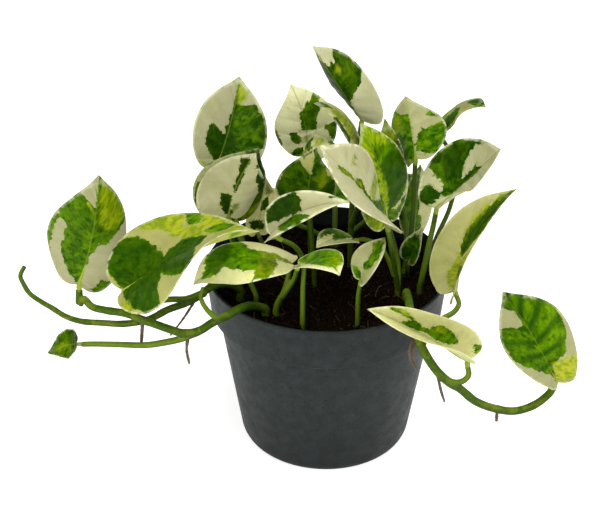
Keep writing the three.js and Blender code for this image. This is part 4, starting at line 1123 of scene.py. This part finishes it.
def soil_object():
    """The soil with loose crumbs and fine fibres on it."""
    rim = collar_radius(SOIL_LEVEL) - WALL - CLEARANCE
    draw = random.Random(SOIL_SEED)
    soil = Shells()
    soil.add(*soil_body(rim))
    ball, ball_faces = ball_shell()
    for _ in range(CRUMB_COUNT):
        soil.add(crumb_points(draw, ball, rim), ball_faces)
    tone = [np.zeros(soil.count)]
    for _ in range(FIBRE_COUNT):
        points, faces = fibre_shell(draw, rim)
        soil.add(points, faces)
        tone.append(np.full(len(points), draw.uniform(0.3, 1.0)))
    return shell_object("soil_surface", soil, {"fibre": np.concatenate(tone)})


class Value:
    """A result in a material's node tree, which adds, subtracts and multiplies like a number."""

    def __init__(self, nodes, socket):
        self.nodes = nodes
        self.socket = socket

    def __add__(self, other):
        return self.nodes.math("ADD", self, other)

    def __sub__(self, other):
        return self.nodes.math("SUBTRACT", self, other)

    def __mul__(self, other):
        return self.nodes.math("MULTIPLY", self, other)

    def __abs__(self):
        return self.nodes.math("ABSOLUTE", self)


class Nodes:
    """Short calls for building a material's node tree."""

    def __init__(self, name):
        self.material = bpy.data.materials.new(name)
        self.material.use_nodes = True
        self.tree = self.material.node_tree
        self.shader = self.tree.nodes["Principled BSDF"]

    def feed(self, socket, value):
        if isinstance(value, Value):
            self.tree.links.new(value.socket, socket)
        else:
            socket.default_value = value

    def node(self, kind, output, inputs, **settings):
        """The named output of a new node with these settings and inputs."""
        node = self.tree.nodes.new("ShaderNode" + kind)
        for key, value in settings.items():
            setattr(node, key, value)
        for key, value in inputs.items():
            self.feed(node.inputs[key], value)
        return Value(self, node.outputs[output])

    def attributes(self, *names):
        return [self.node("Attribute", "Fac", {}, attribute_name=name) for name in names]

    def position(self):
        return self.node("TexCoord", "Object", {})

    def join(self, x, y, z=0.0):
        return self.node("CombineXYZ", 0, {0: x, 1: y, 2: z})

    def axis(self, place, letter):
        return self.node("SeparateXYZ", letter, {0: place})

    def math(self, operation, a, b=0.0, clamp=False):
        return self.node("Math", 0, {0: a, 1: b}, operation=operation, use_clamp=clamp)

    def step(self, value, low, high, to_low=0.0, to_high=1.0):
        ends = {"Value": value, "From Min": low, "From Max": high, "To Min": to_low, "To Max": to_high}
        return self.node("MapRange", "Result", ends, interpolation_type="SMOOTHSTEP")

    def noise(self, vector, scale, detail=3.0, roughness=0.55):
        inputs = {"Vector": vector, "Scale": scale, "Detail": detail, "Roughness": roughness}
        return self.node("TexNoise", "Fac", inputs)

    def scale(self, colour, factor):
        return self.node("VectorMath", 0, {0: colour, "Scale": factor}, operation="SCALE")

    def blend(self, share, a, b):
        a, b = (colour if isinstance(colour, Value) else (*colour, 1.0) for colour in (a, b))
        return self.node("Mix", "Result", {"Factor": share, "A": a, "B": b}, data_type="RGBA")

    def bump(self, height, strength, distance):
        inputs = {"Strength": strength, "Distance": distance, "Height": height}
        self.feed(self.shader.inputs["Normal"], self.node("Bump", "Normal", inputs))

    def set(self, **values):
        for key, value in values.items():
            self.feed(self.shader.inputs[key.replace("_", " ")], value)


def green_tone(n, flat, streaks, ragged):
    """The leaf's green, from fresh to deep in streaks and blotches, with painted shade beside the side veins.
    """
    dark, depth, lively = n.attributes("dark", "depth", "lively")
    across, vein, veined = n.attributes("across", "vein", "veined")
    clouds = n.noise(flat, 0.14, 4.0, 0.6)
    deep = n.blend(clouds, *DEEP_GREEN)
    fresh = n.blend(clouds, *FRESH_GREEN)
    broad_streaks = n.step(n.noise(streaks, 1.7, 4.0, 0.62), 0.40, 0.60)
    fine_streaks = n.step(n.noise(streaks, 5.5, 3.0), 0.40, 0.66)
    blotches = n.step(n.noise(flat, 0.38, 3.0, 0.6), 0.42, 0.6)
    share = broad_streaks * 0.5 + fine_streaks * 0.2 + blotches * 0.27
    colour = n.blend(n.math("ADD", share, depth * 0.6, clamp=True), fresh, deep)
    in_dark = n.step(dark + ragged * 0.5, -1.0, 1.5, 0.0, 0.72)
    colour = n.blend(in_dark, colour, DARK_PATCH)
    # Painted shade beside the sunk side veins, stronger near the midrib
    vein_line = abs(n.math("FRACT", vein) - 0.5)
    painted_vein_shade = n.step(vein_line, 0.34, 0.04) * n.step(abs(across), 22.0, 2.0, 0.5, 0.9) * veined
    colour = n.blend(painted_vein_shade, colour, PAINTED_SHADE_BESIDE_VEIN)
    # Scaled by the leaf's green brightness: partly its own, partly painted light and shade
    return n.scale(colour, lively)


def lime_tone(n, streaks):
    """The light patches, from bright green to yellow."""
    gold, lively = n.attributes("gold", "lively")
    grain = n.step(n.noise(streaks, 4.0, 3.0), 0.36, 0.66)
    yellow = n.blend(grain, *YELLOW_PATCH)
    bright_green = n.blend(grain, *BRIGHT_GREEN_PATCH)
    # Scaled by the leaf's green brightness: partly its own, partly painted light and shade
    return n.scale(n.blend(gold, bright_green, yellow), n.math("MINIMUM", lively, 1.2))


def cream_tone(n, flat, streaks):
    """The leaf's cream, clouded and finely specked."""
    warm, pale = n.attributes("warm", "pale")
    clouds = n.noise(flat, 0.16, 3.0)
    neutral = n.blend(clouds, *NEUTRAL_CREAM)
    yellowish = n.blend(clouds, *WARM_CREAM)
    colour = n.blend(warm, neutral, yellowish)
    clouded = n.step(n.noise(streaks, 1.3, 4.0, 0.65), 0.45, 0.7, 0.0, 0.4)
    # Scaled by the leaf's cream brightness: partly its own paleness, partly painted light and shade
    colour = n.scale(n.blend(clouded, colour, CREAM_CLOUD), pale)
    speck = n.step(n.noise(streaks, 9.0, 2.0), 0.66, 0.74, 0.0, 0.5)
    return n.blend(speck, colour, CREAM_SPECK)


def leaf_material():
    """The leaf's marks with ragged edges, its light rim, partly a painted highlight, its midrib and
    underside.
    """
    n = Nodes("waxy_leaf")
    green, lime, margin, vein, under = n.attributes("green", "lime", "margin", "vein", "under")
    across, along, seed = n.attributes("across", "along", "seed")
    rim, shade, broken = n.attributes("rim", "shade", "broken")
    flat = n.join(across, along, seed)
    reach = abs(across)
    streaks = n.join(vein, reach * 0.09, seed + n.math("SIGN", across) * 3.7)

    ragged = (n.noise(streaks, 2.2, 3.0) - 0.5) * 4.2
    fine = (n.noise(flat, 0.55, 4.0) - 0.5) * 2.2
    green_depth = green + ragged + fine
    is_green = n.step(green_depth, -0.12, 0.12)
    half_green = n.step(green_depth, -1.3, -0.1) * n.step(n.noise(streaks, 5.0, 2.0), 0.5, 0.62)
    is_lime = n.step(lime + (ragged + fine) * (broken * 0.9), -0.9, 1.4)
    cream = n.blend(half_green * 0.75, cream_tone(n, flat, streaks), HALF_GREEN)
    colour = n.blend(is_green, cream, green_tone(n, flat, streaks, ragged))
    colour = n.blend(is_lime * 0.9, colour, lime_tone(n, streaks))

    # Light rim along the margin: partly the leaf's own pale margin, partly a painted highlight
    pale_edge = n.step(margin + fine * 0.5, 1.2, 0.4) * rim * n.step(n.noise(flat, 0.25, 2.0), 0.38, 0.6)
    colour = n.blend(pale_edge, colour, LEAF_EDGE_AND_HIGHLIGHT)
    rib_colour = n.blend(is_green, *MIDRIB)
    colour = n.blend(n.step(reach, 0.5, 0.15, 0.0, 0.45), colour, rib_colour)
    colour = n.blend(under * 0.3, colour, LEAF_UNDERSIDE)
    colour = n.blend(shade * 0.8, colour, LEAF_IN_SHADE)

    n.set(Base_Color=colour, Roughness=n.step(under, 0.0, 1.0, 0.42, 0.6), Specular_IOR_Level=0.05,
          Specular_Tint=LEAF_GLOSS, Subsurface_Weight=0.1, Subsurface_Scale=0.001,
          Subsurface_Radius=(0.5, 1.0, 0.2))
    vein_line = abs(n.math("FRACT", vein) - 0.5)
    n.bump(n.noise(flat, 0.9, 4.0) * 0.6 + n.step(vein_line, 0.0, 0.2) * 0.6, 0.35, 0.0004)
    return n.material


def stem_material():
    """Streaked green for stalks and vines, brown for roots, with painted light and shade on their sides."""
    n = Nodes("green_stem")
    kind, place, painted_lit = n.attributes("kind", "place", "painted_lit")
    where = n.position()
    long_streaks = n.join(place * 0.012, n.noise(where, 160.0, 1.0))
    streak = n.noise(long_streaks, 6.0, 3.0)
    # Painted light and shade: the side towards the lamps is coloured lighter, the other side darker
    painted_light_share = n.step(painted_lit, -0.6, 0.9)
    stalk = n.blend(painted_light_share, n.blend(streak, *STALK_PAINTED_SHADE), n.blend(streak, *STALK_PAINTED_LIGHT))
    # Painted shade: stalks further back are coloured darker, as if in the shade of the leaves
    painted_shade_at_rear = n.step(n.axis(where, "Y"), -0.025, 0.005, 0.0, 0.6)
    stalk = n.blend(painted_shade_at_rear, stalk, STALK_PAINTED_SHADE_AT_REAR)
    # The vines get the same painted light and shade
    vine_painted_light = n.blend(n.step(streak, 0.4, 0.7), *VINE_PAINTED_LIGHT)
    vine = n.blend(painted_light_share, n.blend(streak, *VINE_PAINTED_SHADE), vine_painted_light)
    ring = n.math("FRACT", n.math("DIVIDE", place, NODE_SPACING))
    at_node = n.step(abs(ring - 0.62), 0.03, 0.01, 0.0, 0.35)
    vine = n.blend(at_node, vine, NODE_RING)
    blotch = n.step(n.noise(where, 700.0, 3.0), 0.66, 0.76, 0.0, 0.3)
    vine = n.blend(blotch, vine, VINE_BLOTCH)
    root = n.blend(n.noise(where, 900.0, 3.0), *ROOT_BROWN)
    colour = n.blend(n.step(kind, 0.4, 0.6), stalk, vine)
    colour = n.blend(n.step(kind, 1.4, 1.6), colour, root)
    n.set(Base_Color=colour, Roughness=0.4, Specular_IOR_Level=0.07,
          Subsurface_Weight=0.08, Subsurface_Scale=0.001)
    n.bump(n.noise(long_streaks, 14.0, 2.0) + n.noise(where, 1500.0, 3.0), 0.35, 0.0003)
    return n.material


def soil_material():
    """Dark earth with brown flecks, and straw-coloured fibres."""
    n = Nodes("potting_mix")
    where = n.position()
    fibre, = n.attributes("fibre")
    earth = n.blend(n.noise(where, 420.0, 5.0, 0.7), *EARTH)
    flecks = n.step(n.noise(where, 1100.0, 2.0), 0.60, 0.68)
    earth = n.blend(flecks * 0.6, earth, EARTH_FLECK)
    straw = n.blend(n.noise(where, 600.0, 2.0), *STRAW)
    n.set(Base_Color=n.blend(fibre, earth, straw), Roughness=0.93, Specular_IOR_Level=0.04)
    n.bump(n.noise(where, 900.0, 6.0, 0.75), 0.8, 0.0012)
    return n.material


def pot_material():
    """Dark grey plastic, mottled, pitted and dusty; grime and painted shade under the collar, painted shade
    at the foot.
    """
    n = Nodes("moulded_plastic")
    where = n.position()
    height = n.axis(where, "Z")
    tone = n.blend(n.noise(where, 22.0, 3.0), *POT_GREY)
    mottle = n.step(n.noise(where, 190.0, 4.0, 0.65), 0.35, 0.7)
    tone = n.blend(mottle * 0.6, tone, POT_MOTTLE)
    pits = n.step(n.noise(where, 620.0, 2.0), 0.35, 0.31, 0.0, 0.85)
    tone = n.blend(pits, tone, POT_PIT)
    dust = n.step(n.noise(where, 900.0, 3.0, 0.6), 0.66, 0.76, 0.0, 0.5)
    tone = n.blend(dust, tone, DUST)
    # Grime and painted shade in the band under the collar's overhang
    shade_and_grime_under_collar = n.step(height, 0.069, 0.0735) * n.step(height, 0.0746, 0.0738, 0.0, 0.55)
    tone = n.blend(shade_and_grime_under_collar, tone, SHADE_AND_GRIME_UNDER_COLLAR)
    # Painted shade: the pot is coloured darker towards its foot
    painted_shade_low_down = n.step(height, 0.06, 0.0, 0.0, 0.5)
    tone = n.blend(painted_shade_low_down, tone, PAINTED_SHADE_LOW_ON_POT)
    rough = n.step(n.noise(where, 160.0, 4.0, 0.6), 0.25, 0.75, 0.46, 0.62)
    n.set(Base_Color=tone, Roughness=rough, Specular_IOR_Level=0.14)
    n.bump(n.noise(where, 120.0, 3.0) + n.noise(where, 1600.0, 4.0), 0.3, 0.0004)
    return n.material


def add_floor():
    mesh = bpy.data.meshes.new("floor")
    corners = [(x * FLOOR_REACH, y * FLOOR_REACH, 0) for x, y in ((-1, -1), (1, -1), (1, 1), (-1, 1))]
    mesh.from_pydata(corners, [], [(0, 1, 2, 3)])
    floor = add_object("floor", mesh)
    n = Nodes("pale_floor")
    n.set(Base_Color=FLOOR_COLOUR, Roughness=0.9, Specular_IOR_Level=0.1,
          Emission_Color=WHITE, Emission_Strength=0.6)
    mesh.materials.append(n.material)


def add_lights():
    for name, values in LIGHTS.items():
        light = bpy.data.lights.new(name, "AREA")
        light.shape = "DISK"
        light.size = values["size"]
        light.energy = values["power"]
        lamp = add_object(name, light)
        lamp.location = values["place"]
        way = Vector(LIGHT_AIM) - Vector(values["place"])
        lamp.rotation_euler = way.to_track_quat("-Z", "Y").to_euler()
    world = bpy.data.worlds.new("studio")
    world.use_nodes = True
    background = world.node_tree.nodes["Background"].inputs
    background["Color"].default_value = WHITE
    background["Strength"].default_value = WORLD_STRENGTH
    bpy.context.scene.world = world


def add_camera():
    camera = bpy.data.cameras.new("view")
    camera.sensor_width = CAMERA_SENSOR
    camera.lens = CAMERA_LENS
    camera.clip_start = 0.01
    holder = add_object("view", camera)
    holder.location = CAMERA_PLACE
    holder.rotation_euler = (math.radians(CAMERA_TILT), 0, math.radians(CAMERA_TURN))
    bpy.context.scene.camera = holder


def place_piece(piece, node, material):
    piece.data.materials.clear()
    piece.data.materials.append(material)
    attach(piece, "root")
    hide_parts(node)


def main():
    bpy.context.scene.view_settings.view_transform = "Standard"
    add_camera()
    add_lights()
    add_floor()
    waxy, stemmy, grid = leaf_material(), stem_material(), blade_grid()
    for seed, (name, values) in enumerate(LEAVES.items()):
        place_piece(leaf_object(name, values, seed, grid), name, waxy)
    for name, tubes in STEMS.items():
        place_piece(stem_object(name, tubes), name, stemmy)
    place_piece(soil_object(), "soil", soil_material())
    place_piece(pot_object(), "pot", pot_material())


main()
